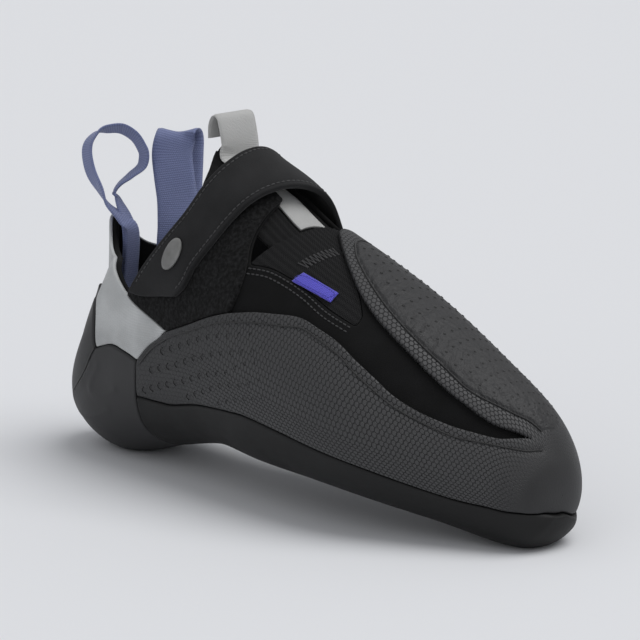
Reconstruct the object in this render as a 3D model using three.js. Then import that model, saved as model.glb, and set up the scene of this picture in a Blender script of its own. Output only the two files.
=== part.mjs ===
// A climbing shoe for the right foot, standing empty on its sole.
// Lengths are millimetres. +X points to the toe, +Y to the inner (medial) side, +Z up.
// The origin is the centre of the flat spot under the heel, on the floor.
//
// The shoe is drawn on its last. A place on the last is a station, from 0 at the toe tip to
// 14 at the collar, and an angle round the section there: 0 under the sole and up the back of
// the heel, 90 on the outer (lateral) side, 180 over the instep, 270 on the inner side.
// Each curved piece is a patch of that surface, cut to its outline, with its thickness
// measured outward from the last.

import * as THREE from 'three';

// Driving sizes of the last
const lastLength = 230;
const ballWidth = 66;
const instepHeight = 96;
const heelHeight = 92;

// Thickness of each material
const upperWall = 2.0;
const soleRubber = 4.2;
const randRubber = 2.0;
const panelThickness = 1.3;
const loopPile = 1.5;
const strapThickness = 2.2;
const tongueThickness = 2.0;
const gussetThickness = 1.4;
const tagThickness = 0.8;
const badgeThickness = 1.0;
const insoleThickness = 2.0;
const webbingThickness = 1.1;

// Other sizes that can be set by themselves
const clearance = 0.3;
const flatCut = 1.5;
const tapeThickness = 1.0;
const tongueLoopWidth = 19;
const heelLoopWidth = 7.5;
const innerLoopWidth = 16;
const strapLift = 2.6;

// Layers, counted outward from the last
const overUpper = upperWall + clearance;
const overRand = overUpper + randRubber;
const overPanel = overUpper + panelThickness;
const overPile = overUpper + loopPile;
const underLast = -clearance;

// Height of the last above the floor: the flat spots are cut this deep into the round sole
const lastBase = overUpper + soleRubber - flatCut;

// Sections of the last. Each runs from its low end, under the sole or on the back of the heel,
// to its top end over the instep. x is a share of the last's length. z is a share of the instep
// height, and the low z behind the heel base is one of the heel height. The y of the centre line
// and the half widths are shares of the ball width. level is where the section is widest, as a
// share of its height. The round columns shape its low and top halves, where 2 is an ellipse.
// place, low x, low z, top x, top z, low y, top y, half outer, half inner, level, low round, top round
const stations = [
  ['toe tip', 0.943, 0.156, 0.943, 0.156, 0.121, 0.121, 0, 0, 0.5, 2, 2],
  ['toe end', 0.933, 0.036, 0.928, 0.281, 0.106, 0.136, 0.197, 0.182, 0.45, 2.1, 2],
  ['toes', 0.891, 0.005, 0.870, 0.443, 0.106, 0.152, 0.303, 0.303, 0.4, 2, 2],
  ['knuckle', 0.8, 0.052, 0.765, 0.615, 0.061, 0.121, 0.439, 0.364, 0.36, 2.1, 2],
  ['ball', 0.696, 0.104, 0.643, 0.781, 0, 0.076, 0.545, 0.455, 0.34, 2.4, 2],
  ['waist front', 0.574, 0.135, 0.522, 0.901, -0.03, 0.061, 0.545, 0.515, 0.34, 2.7, 2],
  ['waist', 0.443, 0.146, 0.43, 1, -0.045, 0.03, 0.5, 0.515, 0.36, 2.8, 2],
  ['arch', 0.304, 0.156, 0.365, 1.104, -0.045, 0.015, 0.455, 0.485, 0.38, 2.5, 2],
  ['heel front', 0.157, 0.083, 0.304, 1.177, -0.015, 0, 0.439, 0.455, 0.4, 2.3, 2],
  ['heel base', 0.026, 0, 0.261, 1.24, 0, 0, 0.424, 0.439, 0.42, 2.3, 2],
  ['heel rear', -0.061, 0.087, 0.235, 1.271, 0, 0, 0.402, 0.417, 0.45, 2.1, 2],
  ['heel back', -0.07, 0.293, 0.217, 1.292, 0, 0, 0.288, 0.318, 0.47, 1.6, 2],
  ['heel top', -0.037, 0.554, 0.213, 1.302, 0, 0, 0.22, 0.258, 0.48, 1.5, 2],
  ['achilles', -0.03, 0.772, 0.209, 1.313, 0, 0, 0.22, 0.25, 0.48, 1.4, 2],
  ['collar', -0.03, 1, 0.204, 1.323, 0, 0, 0.22, 0.242, 0.48, 1.4, 2],
];
const heelBase = stations.findIndex(([place]) => place === 'heel base');
const originPlace = stations[heelBase][1];
const lastStation = stations.length - 1;

// One section as plain lengths
function sectionLengths([, ...shares], index) {
  const [lowX, lowZ, topX, topZ, lowY, topY, halfOuter, halfInner, ...form] = shares;
  const lowHeight = index > heelBase ? heelHeight : instepHeight;
  return [
    (lowX - originPlace) * lastLength,
    lowZ * lowHeight + lastBase,
    (topX - originPlace) * lastLength,
    topZ * instepHeight + lastBase,
    ...[lowY, topY, halfOuter, halfInner].map((share) => share * ballWidth),
    ...form,
  ];
}

// The rows, with one more at each end so that the surface closes as a dome at the toe
const rows = stations.map(sectionLengths);
const [lowX, lowZ, topX, topZ, lowY, topY, outer, inner, ...form] = rows[1];
rows.unshift([topX, topZ, lowX, lowZ, lowY, topY, -outer, -inner, ...form]);
rows.push(rows.at(-1).map((value, i) => 2 * value - rows.at(-2)[i]));

// The section at any station, between the rows
function sectionAt(station) {
  const s = THREE.MathUtils.clamp(station, 0, lastStation - 1e-6);
  const i = Math.floor(s);
  const f = s - i;
  const [before, from, to, after] = rows.slice(i, i + 4);
  return from.map((value, c) => {
    const slope = (to[c] - before[c]) * f;
    const bend = (2 * before[c] - 5 * value + 4 * to[c] - after[c]) * f ** 2;
    const turn = (3 * value - before[c] - 3 * to[c] + after[c]) * f ** 3;
    return 0.5 * (2 * value + slope + bend + turn);
  });
}

// A point of the last
function lastPoint(station, angle) {
  const [x0, z0, x1, z1, y0, y1, halfOuter, halfInner, level, squareLow, squareTop] = sectionAt(station);
  const sine = Math.sin(THREE.MathUtils.degToRad(angle));
  const cosine = Math.cos(THREE.MathUtils.degToRad(angle));
  const power = cosine > 0 ? squareLow : squareTop;
  const reach = (Math.abs(sine) ** power + Math.abs(cosine) ** power) ** (-1 / power);
  const across = (sine > 0 ? halfOuter : halfInner) * reach * sine;
  const rise = level - (cosine > 0 ? level : 1 - level) * reach * cosine;
  const y = y0 + (y1 - y0) * rise - across;
  return new THREE.Vector3(x0 + (x1 - x0) * rise, y, z0 + (z1 - z0) * rise);
}

// The direction straight out of the last there
function lastNormal(station, angle) {
  const step = 0.02;
  const s = Math.max(station, step);
  const along = lastPoint(s + step, angle).sub(lastPoint(s - step + 1e-3, angle));
  const round = lastPoint(s, angle + 1).sub(lastPoint(s, angle - 1));
  return round.cross(along).normalize();
}

// The last as a net of points: stations close together at the toe, then even
const columns = 30;
const columnAngle = 360 / columns;
const toeStations = [0, 0.15, 0.35, 0.6, 0.85];
const stationStep = 0.4;
const evenStations = Math.round((lastStation - 1.2) / stationStep);
const netStations = [...toeStations];
for (let k = 0; k <= evenStations; k += 1) netStations.push(1.2 + ((lastStation - 1.2) * k) / evenStations);

function netRow(station) {
  const row = [];
  for (let j = 0; j < columns; j += 1) {
    const angle = j * columnAngle;
    row.push({ station, angle, point: lastPoint(station, angle), normal: lastNormal(station, angle) });
  }
  return row;
}
const net = netStations.map(netRow);
const tipNormal = net[0].reduce((sum, node) => sum.add(node.normal), new THREE.Vector3()).normalize();
net[0] = net[0].map(() => ({ ...net[0][0], normal: tipNormal }));

// Outlines are drawn on the last as [station, angle] points
function curve(points) {
  const steps = 5 * (points.length - 1);
  const spline = new THREE.SplineCurve(points.map(([s, a]) => new THREE.Vector2(s, a)));
  return { drawn: true, points: spline.getPoints(steps).map((p) => [p.x, p.y]) };
}

// A closing line where the piece runs on, so nothing is cut there
function open(points) {
  return { drawn: false, points };
}

// The same stretch on the inner side
function mirrored(stretch, turn = 360) {
  return { ...stretch, points: stretch.points.map(([s, a]) => [s, turn - a]) };
}

function turned(stretch, turn) {
  return { ...stretch, points: stretch.points.map(([s, a]) => [s, a + turn]) };
}

// How far apart two places are, with ten degrees counted as one third of a station
function spacing([s0, a0], [s1, a1]) {
  return Math.hypot(s1 - s0, (a1 - a0) / 30);
}

// A closed outline of stretches in order, each run whichever way joins it to the one before;
// firstAngle is where its angles start
function region(firstAngle, ...stretches) {
  const edges = [];
  const corners = [];
  stretches.forEach(({ drawn, points }, i) => {
    const other = i === 0 ? stretches[1].points : corners;
    const reach = i === 0 ? [other[0], other.at(-1)] : [other.at(-1)];
    const gapFrom = (end) => Math.min(...reach.map((place) => spacing(end, place)));
    const startsNearer = gapFrom(points[0]) < gapFrom(points.at(-1));
    const run = startsNearer === (i > 0) ? points : [...points].reverse();
    corners.push(...run);
    if (!drawn) return;
    const places = run.map(([s, a]) => lastPoint(s, a));
    for (let k = 1; k < places.length; k += 1) edges.push(new THREE.Line3(places[k - 1], places[k]));
  });
  return { firstAngle, corners, edges };
}

// How far a node of the net lies inside an outline, negative outside
function depthInside(node, { firstAngle, corners, edges }) {
  const angle = firstAngle + THREE.MathUtils.euclideanModulo(node.angle - firstAngle, 360);
  let inside = false;
  corners.forEach(([s1, a1], i) => {
    const [s0, a0] = corners.at(i - 1);
    const crosses = a0 > angle !== a1 > angle;
    if (crosses && node.station < s0 + ((s1 - s0) * (angle - a0)) / (a1 - a0)) inside = !inside;
  });
  const nearest = new THREE.Vector3();
  const distanceTo = (edge) => edge.closestPointToPoint(node.point, true, nearest).distanceTo(node.point);
  const distances = edges.map(distanceTo);
  return (inside ? 1 : -1) * Math.min(...distances);
}

// A patch of the last: keep and cut are outlines, from and to its two faces' distances from
// the last, as numbers or as functions of the place. Its edges stay half a clearance back.
function patch({ keep, cut = [], from, to, floor = false }) {
  const snap = 0.4;
  const depthAt = (node, level) => (typeof level === 'function' ? level(node.station, node.angle) : level);
  const onFace = (node, level) => {
    const place = node.point.clone().addScaledVector(node.normal, depthAt(node, level));
    if (floor) place.z = Math.max(place.z, 0);
    return place;
  };
  const vertices = new Map();
  const vertexAt = (i, j) => {
    const key = i === 0 ? 'tip' : `${i} ${j % columns}`;
    if (!vertices.has(key)) {
      const node = net[i][j % columns];
      const depths = cut.map((outline) => -depthInside(node, outline));
      if (keep) depths.push(depthInside(node, keep));
      const depth = Math.min(...depths);
      const settled = Math.abs(depth) < snap ? 0 : depth;
      vertices.set(key, { key, depth: settled, low: onFace(node, from), high: onFace(node, to) });
    }
    return vertices.get(key);
  };
  const crossing = (a, b) => {
    const [p, q] = a.key < b.key ? [a, b] : [b, a];
    const key = `${p.key} to ${q.key}`;
    if (!vertices.has(key)) {
      const t = p.depth / (p.depth - q.depth);
      const [low, high] = [p.low.clone().lerp(q.low, t), p.high.clone().lerp(q.high, t)];
      vertices.set(key, { key, depth: 0, low, high });
    }
    return vertices.get(key);
  };
  const faces = [];
  const addClipped = (corners) => {
    if (!corners.some((v) => v.depth > 0)) return;
    const kept = [];
    corners.forEach((v, i) => {
      const next = corners[(i + 1) % 3];
      if (v.depth >= 0) kept.push(v);
      if (v.depth * next.depth < 0) kept.push(crossing(v, next));
    });
    for (let i = 2; i < kept.length; i += 1) faces.push([kept[0], kept[i - 1], kept[i]]);
  };
  for (let i = 0; i + 1 < net.length; i += 1) {
    for (let j = 0; j < columns; j += 1) {
      const [a, b, c, d] = [vertexAt(i, j), vertexAt(i, j + 1), vertexAt(i + 1, j + 1), vertexAt(i + 1, j)];
      if (i > 0) addClipped([a, b, c]);
      addClipped([a, c, d]);
    }
  }
  return thickened(faces);
}

// Edges that only one face has, run as that face runs them
function borderOf(faces) {
  const border = new Map();
  for (const face of faces) {
    face.forEach((v, i) => {
      const next = face[(i + 1) % 3];
      if (!border.delete(`${next.key}|${v.key}`)) border.set(`${v.key}|${next.key}`, { v, next, face });
    });
  }
  return [...border.values()];
}

// Both faces of a patch and the walls along its border, set back by half the clearance
function thickened(faces) {
  const border = borderOf(faces);
  const setBack = new Map();
  for (const { v, next, face } of border) {
    const [p, q, r] = face.map((corner) => corner.high);
    const faceNormal = q.clone().sub(p).cross(r.clone().sub(p)).normalize();
    const inward = faceNormal.cross(next.high.clone().sub(v.high)).normalize();
    for (const end of [v, next]) setBack.set(end, [...(setBack.get(end) ?? []), inward]);
  }
  for (const [vertex, directions] of setBack) {
    const middle = directions.reduce((sum, d) => sum.add(d), new THREE.Vector3()).normalize();
    const spread = Math.max(middle.dot(directions[0]), 0.5);
    middle.multiplyScalar(clearance / 2 / spread);
    vertex.low.add(middle);
    vertex.high.add(middle);
  }
  const triangles = [];
  for (const [a, b, c] of faces) {
    triangles.push([a.high, b.high, c.high], [a.low, c.low, b.low]);
  }
  for (const { v, next } of border) {
    triangles.push([next.high, v.high, v.low], [next.high, v.low, next.low]);
  }
  return meshGeometry(triangles);
}

function meshGeometry(triangles) {
  const geometry = new THREE.BufferGeometry();
  geometry.setFromPoints(triangles.flat());
  geometry.computeVertexNormals();
  return geometry;
}

// A flat tape of even width: centre points and the direction of its width at each
function tape(path, width, thickness, stepsPerPoint = 2) {
  const centre = new THREE.CatmullRomCurve3(path.map(({ at }) => new THREE.Vector3(...at)));
  const sides = new THREE.CatmullRomCurve3(path.map(({ side }) => new THREE.Vector3(...side).normalize()));
  const count = stepsPerPoint * (path.length - 1);
  const rings = [];
  for (let k = 0; k <= count; k += 1) {
    const along = centre.getTangent(k / count);
    const side = sides.getPoint(k / count);
    side.addScaledVector(along, -side.dot(along)).normalize();
    const face = along.clone().cross(side);
    const middle = centre.getPoint(k / count);
    const corner = (u, v) => {
      const edge = middle.clone().addScaledVector(side, (u * width) / 2);
      return edge.addScaledVector(face, (v * thickness) / 2);
    };
    rings.push([corner(1, 1), corner(-1, 1), corner(-1, -1), corner(1, -1)]);
  }
  const triangles = [];
  for (let k = 1; k < rings.length; k += 1) {
    for (let c = 0; c < 4; c += 1) {
      const [a, b] = [rings[k - 1][c], rings[k - 1][(c + 1) % 4]];
      const [d, e] = [rings[k][c], rings[k][(c + 1) % 4]];
      triangles.push([a, b, e], [a, e, d]);
    }
  }
  const [first, last] = [rings[0], rings.at(-1)];
  triangles.push([first[0], first[2], first[1]], [first[0], first[3], first[2]]);
  triangles.push([last[0], last[1], last[2]], [last[0], last[2], last[3]]);
  return meshGeometry(triangles);
}

// A small plate on the last between four corner places, laid out in cells
function plate(corners, cellsAlong, cellsAcross, from, to) {
  const [p, q, r, t] = corners;
  const blend = (u, v, k) => (1 - v) * ((1 - u) * p[k] + u * q[k]) + v * ((1 - u) * t[k] + u * r[k]);
  const vertexAt = (i, j) => {
    const [station, angle] = [0, 1].map((k) => blend(i / cellsAlong, j / cellsAcross, k));
    const [point, normal] = [lastPoint(station, angle), lastNormal(station, angle)];
    const faceAt = (level) => point.clone().addScaledVector(normal, level);
    return { key: `${i} ${j}`, low: faceAt(from), high: faceAt(to) };
  };
  const grid = [];
  for (let i = 0; i <= cellsAlong; i += 1) {
    grid.push(Array.from({ length: cellsAcross + 1 }, (_, j) => vertexAt(i, j)));
  }
  const faces = [];
  for (let i = 0; i < cellsAlong; i += 1) {
    for (let j = 0; j < cellsAcross; j += 1) {
      const [a, b, c, d] = [grid[i][j], grid[i][j + 1], grid[i + 1][j + 1], grid[i + 1][j]];
      faces.push([a, b, c], [a, c, d]);
    }
  }
  return thickened(faces);
}

// A round badge: its centre place, its half sizes along the stations and round the section
function roundPlate([station, angle], [alongSize, roundSize], points, from, to) {
  const vertexAt = (key, s, a, level) => {
    const [point, normal] = [lastPoint(s, a), lastNormal(s, a)];
    return {
      key,
      low: point.clone().addScaledVector(normal, from),
      high: point.clone().addScaledVector(normal, level),
    };
  };
  const centre = vertexAt('centre', station, angle, to);
  const rim = Array.from({ length: points }, (_, k) => {
    const turn = (2 * Math.PI * k) / points;
    return vertexAt(`rim ${k}`, station + alongSize * Math.sin(turn), angle + roundSize * Math.cos(turn), to);
  });
  return thickened(rim.map((v, k) => [centre, v, rim[(k + 1) % points]]));
}

// Outlines shared by neighbours, on the outer side
const partingOuter = curve([
  [8.25, 59], [7.75, 56], [7.4, 55], [6.75, 60], [6.2, 66], [5.83, 69], [5.2, 70], [4.7, 70],
  [4, 70.5], [3.3, 70], [2.6, 71], [2.1, 74], [1.2, 77], [0.75, 60], [0.55, 30], [0.45, 0],
]);
const partingInner = curve([
  [0.45, 0], [0.52, -22], [0.75, -40], [1.12, -54], [1.7, -63], [2.6, -70], [3.3, -72], [4, -73],
  [4.7, -73], [5.2, -72], [5.83, -69], [6.2, -66], [6.75, -60], [7.4, -55], [7.75, -56], [8.25, -59],
]);
const heelSeamUnder = curve([[8.25, 59], [8.2, 49], [8.15, 41], [8.08, 32], [8.02, 20], [8, 0]]);
const heelSeamSide = curve([[8.25, 59], [8.27, 69], [8.32, 78]]);
const randTopAtPanel = curve([[8.32, 78], [8.1, 86], [7.75, 94]]);
const randTopAtPile = curve([[7.75, 94], [7.2, 100], [6.4, 112]]);
const randTopAtVamp = curve([
  [6.4, 112], [5.88, 119], [5.43, 124], [4.96, 129], [4.61, 129.5], [4.29, 129], [3.99, 126],
  [3.69, 123], [3.44, 120], [3.16, 119], [2.82, 120], [2.42, 124], [1.89, 135], [1.5, 157],
]);
const patchEdgeOuter = curve([
  [1.5, 157], [1.97, 142], [2.27, 138], [2.54, 138], [2.82, 139], [3.12, 141], [3.41, 144],
  [3.71, 147], [4.06, 151], [4.41, 157], [4.81, 166], [5.26, 177], [5.63, 189], [5.72, 202],
]);
const patchEdgeInner = curve([
  [5.72, 202], [5.6, 218], [5.5, 230], [5.8, 241], [6.4, 249], [7.2, 260], [7.75, 266],
]);
const cupTop = curve([[8.32, 78], [8.6, 81], [8.97, 82.5], [9.25, 80.5], [9.57, 74.5]]);
const slingEdge = curve([
  [9.57, 74.5], [9.7, 77], [9.82, 80], [9.99, 83], [10.2, 83.5], [10.5, 80], [11, 69], [11.6, 48],
  [12.1, 24], [12.25, 0],
]);
const panelFront = curve([[7.75, 94], [8.4, 98], [8.87, 100], [9.32, 101]]);
const rimOuter = curve([
  [13.75, 0], [13.6, 10], [13.35, 18], [13, 28], [12.5, 47], [11.9, 68], [11.16, 88], [10.6, 97],
  [10, 101], [9.32, 101],
]);
const rimUnderStrap = curve([[9.32, 101], [8.95, 107], [8.6, 118], [8.45, 132], [8.35, 150], [8.2, 166]]);
const rimInnerThroat = curve([[8.1, 196], [8.4, 214], [8.9, 232], [9.5, 245], [10.2, 254]]);
const rimInnerHeel = curve([
  [10.2, 254], [10.7, 260], [11.1, 270], [11.6, 282], [12.2, 300], [12.6, 318], [13, 335], [13.45, 350],
  [13.75, 360],
]);
const throatOuter = curve([[8.2, 166], [7.5, 172], [6.73, 173]]);
const quarterFront = curve([[6.73, 173], [6.62, 149], [6.53, 140], [6.4, 134]]);
const gussetLow = curve([[6.4, 134], [5.91, 140], [5.46, 142], [5.03, 142], [4.61, 140.5], [4.2, 141]]);
const slotToe = curve([[4.2, 141], [4.2, 148], [4.5, 160], [4.9, 170], [5.25, 183], [5.4, 196]]);
const slotInner = curve([[5.4, 196], [5.8, 205], [6.4, 204], [7.2, 199], [8.1, 196]]);
const gussetFree = curve([[6.4, 134], [6.12, 151], [5.96, 161], [5.88, 174], [5.87, 188], [5.85, 203]]);

// The outlines of the pieces
const soleOutline = region(-180, partingInner, mirrored(heelSeamUnder, 0), heelSeamUnder, partingOuter);
const beyondCollar = lastStation + 1;
const collarOpening = region(
  0, rimOuter, rimUnderStrap, throatOuter, quarterFront, gussetLow, slotToe, slotInner, rimInnerThroat,
  rimInnerHeel, open([[beyondCollar, 360], [beyondCollar, 0]]),
);
const lastingEdge = curve([
  [2.4, 0], [2.6, 18], [3.4, 30], [5, 34], [7, 32], [8.6, 30], [9.3, 16], [9.45, 0],
]);
const lastingOpening = region(-180, lastingEdge, mirrored(lastingEdge, 0));
const insoleEdge = curve([
  [1, 0], [1.15, 25], [1.7, 42], [3, 48], [5, 50], [7, 48], [8.8, 48], [9.6, 35], [9.85, 0],
]);
const insoleOutline = region(-180, insoleEdge, mirrored(insoleEdge, 0));
const randOutline = region(
  0, partingOuter, open([[-1, 0], [-1, 360]]), turned(partingInner, 360),
  mirrored(heelSeamSide), mirrored(randTopAtPanel), patchEdgeInner,
  patchEdgeOuter, randTopAtVamp, randTopAtPile, randTopAtPanel,
  heelSeamSide,
);
const cupOutline = region(
  -180, heelSeamUnder, mirrored(heelSeamUnder, 0), mirrored(heelSeamSide, 0),
  mirrored(cupTop, 0), mirrored(slingEdge, 0), slingEdge,
  cupTop, heelSeamSide,
);
const panelFrontInner = curve([[7.75, 266], [8.6, 262], [9.5, 258], [10.2, 254]]);
const panelOutline = region(
  -180, slingEdge, mirrored(slingEdge, 0), mirrored(cupTop, 0), mirrored(randTopAtPanel, 0),
  turned(panelFrontInner, -360), turned(rimInnerHeel, -360), rimOuter, panelFront, randTopAtPanel, cupTop,
);
const pileOutline = region(
  0, randTopAtPile, curve([[6.4, 112], [6.34, 120], [6.34, 128], [6.4, 134]]), quarterFront,
  throatOuter, rimUnderStrap, panelFront,
);
const gussetInner = curve([[5.4, 196], [5.65, 201], [5.85, 203]]);
const gussetOutline = region(0, gussetLow, slotToe, gussetInner, gussetFree);
const tongueEdgeOuter = curve([
  [4.9, 180], [5.3, 160], [6, 150], [7, 146], [8, 144], [8.75, 146], [9.2, 158], [9.9, 170], [10.3, 180],
]);
const tongueEdgeInner = curve([
  [10.3, 180], [9.9, 192], [9.2, 205], [8.75, 217], [8, 218], [7, 217], [6, 212], [5.3, 200], [4.9, 180],
]);
const tongueOutline = region(0, tongueEdgeOuter, tongueEdgeInner);
const tapeHalfAngle = 12;
const tapeEnd = 8.6;
const tapeFront = 6.02;
const tapeOuterAngle = 180 - tapeHalfAngle;
const tapeSide = curve([
  [tapeFront, tapeOuterAngle], [6.6, tapeOuterAngle], [7.6, tapeOuterAngle], [tapeEnd, tapeOuterAngle + 1],
]);
const tapeOutline = region(
  0, tapeSide, curve([[tapeEnd, tapeOuterAngle + 1], [tapeEnd, 359 - tapeOuterAngle]]), mirrored(tapeSide),
  curve([[tapeFront, 360 - tapeOuterAngle], [tapeFront, tapeOuterAngle]]),
);
const strapLow = curve([
  [7.68, 107], [7.53, 112], [7.46, 120], [7.33, 128], [7.15, 142], [6.95, 160], [6.82, 175],
  [6.7, 190], [6.55, 205], [6.45, 220], [6.4, 235], [6.4, 246],
]);
const strapHigh = curve([
  [7.6, 250], [7.85, 234], [8.1, 218], [8.3, 202], [8.42, 188], [8.4, 175], [8.34, 162], [8.36, 150],
  [8.42, 137], [8.62, 126], [8.92, 113], [9.08, 103],
]);
const strapRoot = curve([[6.4, 246], [7.6, 250]]);
const strapTab = curve([[9.08, 103], [7.68, 107]]);
const strapOutline = region(0, strapLow, strapRoot, strapHigh, strapTab);

// The rubber under the sole is thicker than on its sides
function soleFace(station, angle) {
  const fromLow = Math.min(angle, 360 - angle);
  const share = THREE.MathUtils.smoothstep(fromLow, 35, 65);
  return overUpper + soleRubber + (randRubber - soleRubber) * share;
}

// The tongue is thinner where its tape lies on it
function tongueFace(station, angle) {
  const onTape = Math.abs(angle - 180) < tapeHalfAngle + 1;
  return onTape ? underLast - tapeThickness - clearance : underLast;
}

// The strap lies on the pile patch, stands over the tongue and comes down to the upper inside
function strapFace(station, angle) {
  const overTongue = THREE.MathUtils.smoothstep(angle, 132, 164);
  const downInside = THREE.MathUtils.smoothstep(angle, 196, 226);
  const onPile = overPile + clearance;
  return onPile + strapLift * overTongue + (overUpper - onPile - strapLift) * downInside;
}

const palette = {
  sole: { color: 0x353535, roughness: 0.55 },
  rand: { color: 0x3f3f3f, roughness: 0.6 },
  microfibre: { color: 0x151515, roughness: 0.9 },
  panel: { color: 0xb2b4b4, roughness: 0.7 },
  strap: { color: 0x2e2e2e, roughness: 0.85 },
  mesh: { color: 0x1d1d1d, roughness: 0.95 },
  paleTape: { color: 0xc8c8c6, roughness: 0.8 },
  blueTape: { color: 0x737da5, roughness: 0.75 },
  label: { color: 0x504bc8, roughness: 0.7 },
  badge: { color: 0x8c8c8a, roughness: 0.4 },
  insole: { color: 0x2a2c30, roughness: 0.9 },
};

const shoe = new THREE.Group();
function add(name, geometry, look) {
  const mesh = new THREE.Mesh(geometry, new THREE.MeshStandardMaterial({ metalness: 0, ...look }));
  mesh.name = name;
  shoe.add(mesh);
}

add('upper', patch({ cut: [collarOpening, lastingOpening], from: 0, to: upperWall }), palette.microfibre);
const underInsole = underLast - insoleThickness;
add('insole', patch({ keep: insoleOutline, from: underInsole, to: underLast }), palette.insole);
add('outsole', patch({ keep: soleOutline, from: overUpper, to: soleFace, floor: true }), palette.sole);
add('heel_cup', patch({ keep: cupOutline, from: overUpper, to: soleFace, floor: true }), palette.rand);
add('rand', patch({ keep: randOutline, from: overUpper, to: overRand }), palette.rand);
add('heel_panel', patch({ keep: panelOutline, from: overUpper, to: overPanel }), palette.panel);
add('pile_patch', patch({ keep: pileOutline, from: overUpper, to: overPile }), palette.mesh);
add('gusset', patch({ keep: gussetOutline, from: clearance, to: clearance + gussetThickness }), palette.mesh);

const underTape = underLast - tapeThickness - clearance;
const underTongue = underTape - tongueThickness;
const tapeFace = underLast - tapeThickness;
add('tongue', patch({ keep: tongueOutline, from: underTongue, to: tongueFace }), palette.mesh);
add('tongue_tape', patch({ keep: tapeOutline, from: tapeFace, to: underLast }), palette.paleTape);

const strapOuterFace = (station, angle) => strapFace(station, angle) + strapThickness;
add('strap', patch({ keep: strapOutline, from: strapFace, to: strapOuterFace }), palette.strap);

const tagCorners = [[4.66, 143.5], [5.4, 141], [5.3, 148], [4.64, 150]];
add('side_tag', plate(tagCorners, 4, 2, overUpper, overUpper + tagThickness), palette.label);
const badgeFace = overPile + clearance + strapThickness + clearance;
add('badge', roundPlate([8.1, 121], [0.22, 6], 14, badgeFace, badgeFace + badgeThickness), palette.badge);

// Webbing stitched inside the collar, where its width fits the hollow wall there. The width
// runs up the angles, and rise is how many stations it climbs for each degree; layer 1 lies
// over layer 0.
function seatInside(station, angle, rise, width, layer) {
  const ends = [];
  let spread = 0;
  do {
    spread += 1;
    ends[0] = lastPoint(station - rise * spread, angle - spread);
    ends[1] = lastPoint(station + rise * spread, angle + spread);
  } while (ends[0].distanceTo(ends[1]) < width + 6 * clearance);
  const side = ends[1].clone().sub(ends[0]).normalize();
  const inward = lastNormal(station, angle).negate();
  inward.addScaledVector(side, -inward.dot(side)).normalize();
  const depth = 3 * clearance + webbingThickness / 2 + layer * (webbingThickness + clearance);
  const middle = ends[0].add(ends[1]).multiplyScalar(0.5).addScaledVector(inward, depth);
  return { at: middle.toArray(), side: side.toArray() };
}

// Centre points of a free loop, as distances from the place it grows from
function measuredFrom(anchor, side, offsets) {
  return offsets.map(([x, y, z, turnX = 0, turnY = 0, turnZ = 0]) => ({
    at: [anchor.x + x, anchor.y + y, anchor.z + z],
    side: [side[0] + turnX, side[1] + turnY, side[2] + turnZ],
  }));
}

// The thin loop at the heel: up behind the rim, over in an open arc and down in front of itself
const heelLoopSeat = (station, layer) => seatInside(station, 0, 0, heelLoopWidth, layer);
const heelLoopPath = [
  heelLoopSeat(12, 0), heelLoopSeat(13.2, 0),
  ...measuredFrom(lastPoint(13.75, 0), [0.7, -0.68, 0.22], [
    [-1.6, 0.6, 4.8, -0.3, 0, 0], [-3, -0.3, 7.4], [-2.2, 1.6, 10.8], [0.9, 4.7, 14.4, 0.2, 0.2, 0],
    [4.1, 7.7, 18.2, 0.2, 0.2, 0], [4.9, 8.5, 22.6, 0.1, 0.1, 0.1], [3.5, 8.2, 26, 0, 0, 0.2],
    [1, 6.8, 29.9, 0, 0, 0.35], [-2.8, 3.9, 32.6, 0, 0, 0.35], [-6.3, 0.2, 32.6, 0, 0, 0.3],
    [-9.1, -3.1, 31.4, 0.1, 0.1, 0.1], [-11, -6.2, 27.6, 0.2, 0.2, 0], [-10.7, -7.6, 23, 0.25, 0.25, 0],
    [-7.8, -8.2, 16.3, 0.25, 0.25, 0], [-2.9, -8, 10.3, 0.2, 0.1, 0], [0, -6.5, 4.1, -0.2, 0, 0],
    [4.3, -2.5, -1.7, -0.5, -0.2, -0.2],
  ]),
  heelLoopSeat(13.2, 1), heelLoopSeat(12, 1),
];
add('heel_loop', tape(heelLoopPath, heelLoopWidth, webbingThickness), palette.blueTape);

// The wide loop on the inner side of the collar: a tall flat fold
const innerLoopSeat = (station, layer) => seatInside(station, 292, 1 / 30, innerLoopWidth, layer);
const innerLoopPath = [
  innerLoopSeat(11.3, 1), innerLoopSeat(11.8, 1),
  ...measuredFrom(lastPoint(11.8, 292), [-0.695, -0.719, 0], [
    [2.4, -0.9, 11.2, -0.1, 0.1, 0], [-0.3, 1.5, 20.8], [-3.1, 2.5, 29.8], [-5.6, 3.7, 39.8],
    [-6, 5.8, 47], [-6.7, 8.2, 49.2], [-7, 11, 46.7], [-6.1, 10.1, 38.7], [-4.4, 8, 29],
    [-1.6, 4.7, 20.2], [1.4, 0.7, 10.7, -0.1, 0.1, 0],
  ]),
  innerLoopSeat(11.8, 0), innerLoopSeat(11.3, 0),
];
add('inner_loop', tape(innerLoopPath, innerLoopWidth, webbingThickness), palette.blueTape);

// The loop of the tongue's tape: along the tongue, up, and down behind to its top edge
const tongueLoopOn = (station) => {
  const middle = underLast - tapeThickness / 2;
  const place = lastPoint(station, 180).addScaledVector(lastNormal(station, 180), middle);
  return { at: place.toArray(), side: [0, 1, 0] };
};
const tongueLoopPath = [
  tongueLoopOn(tapeEnd + 0.08), tongueLoopOn(tapeEnd + 0.35),
  ...measuredFrom(lastPoint(tapeEnd + 0.35, 180), [0, 1, 0], [
    [-1.2, 1, 3.6], [-2.6, 1, 10.3], [-4.1, 1, 14.2], [-6.6, 1, 14.7], [-8.6, 1, 11.2], [-8.8, 1, 6],
  ]),
];
add('tongue_loop', tape(tongueLoopPath, tongueLoopWidth, tapeThickness), palette.paleTape);

export default shoe;
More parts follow.
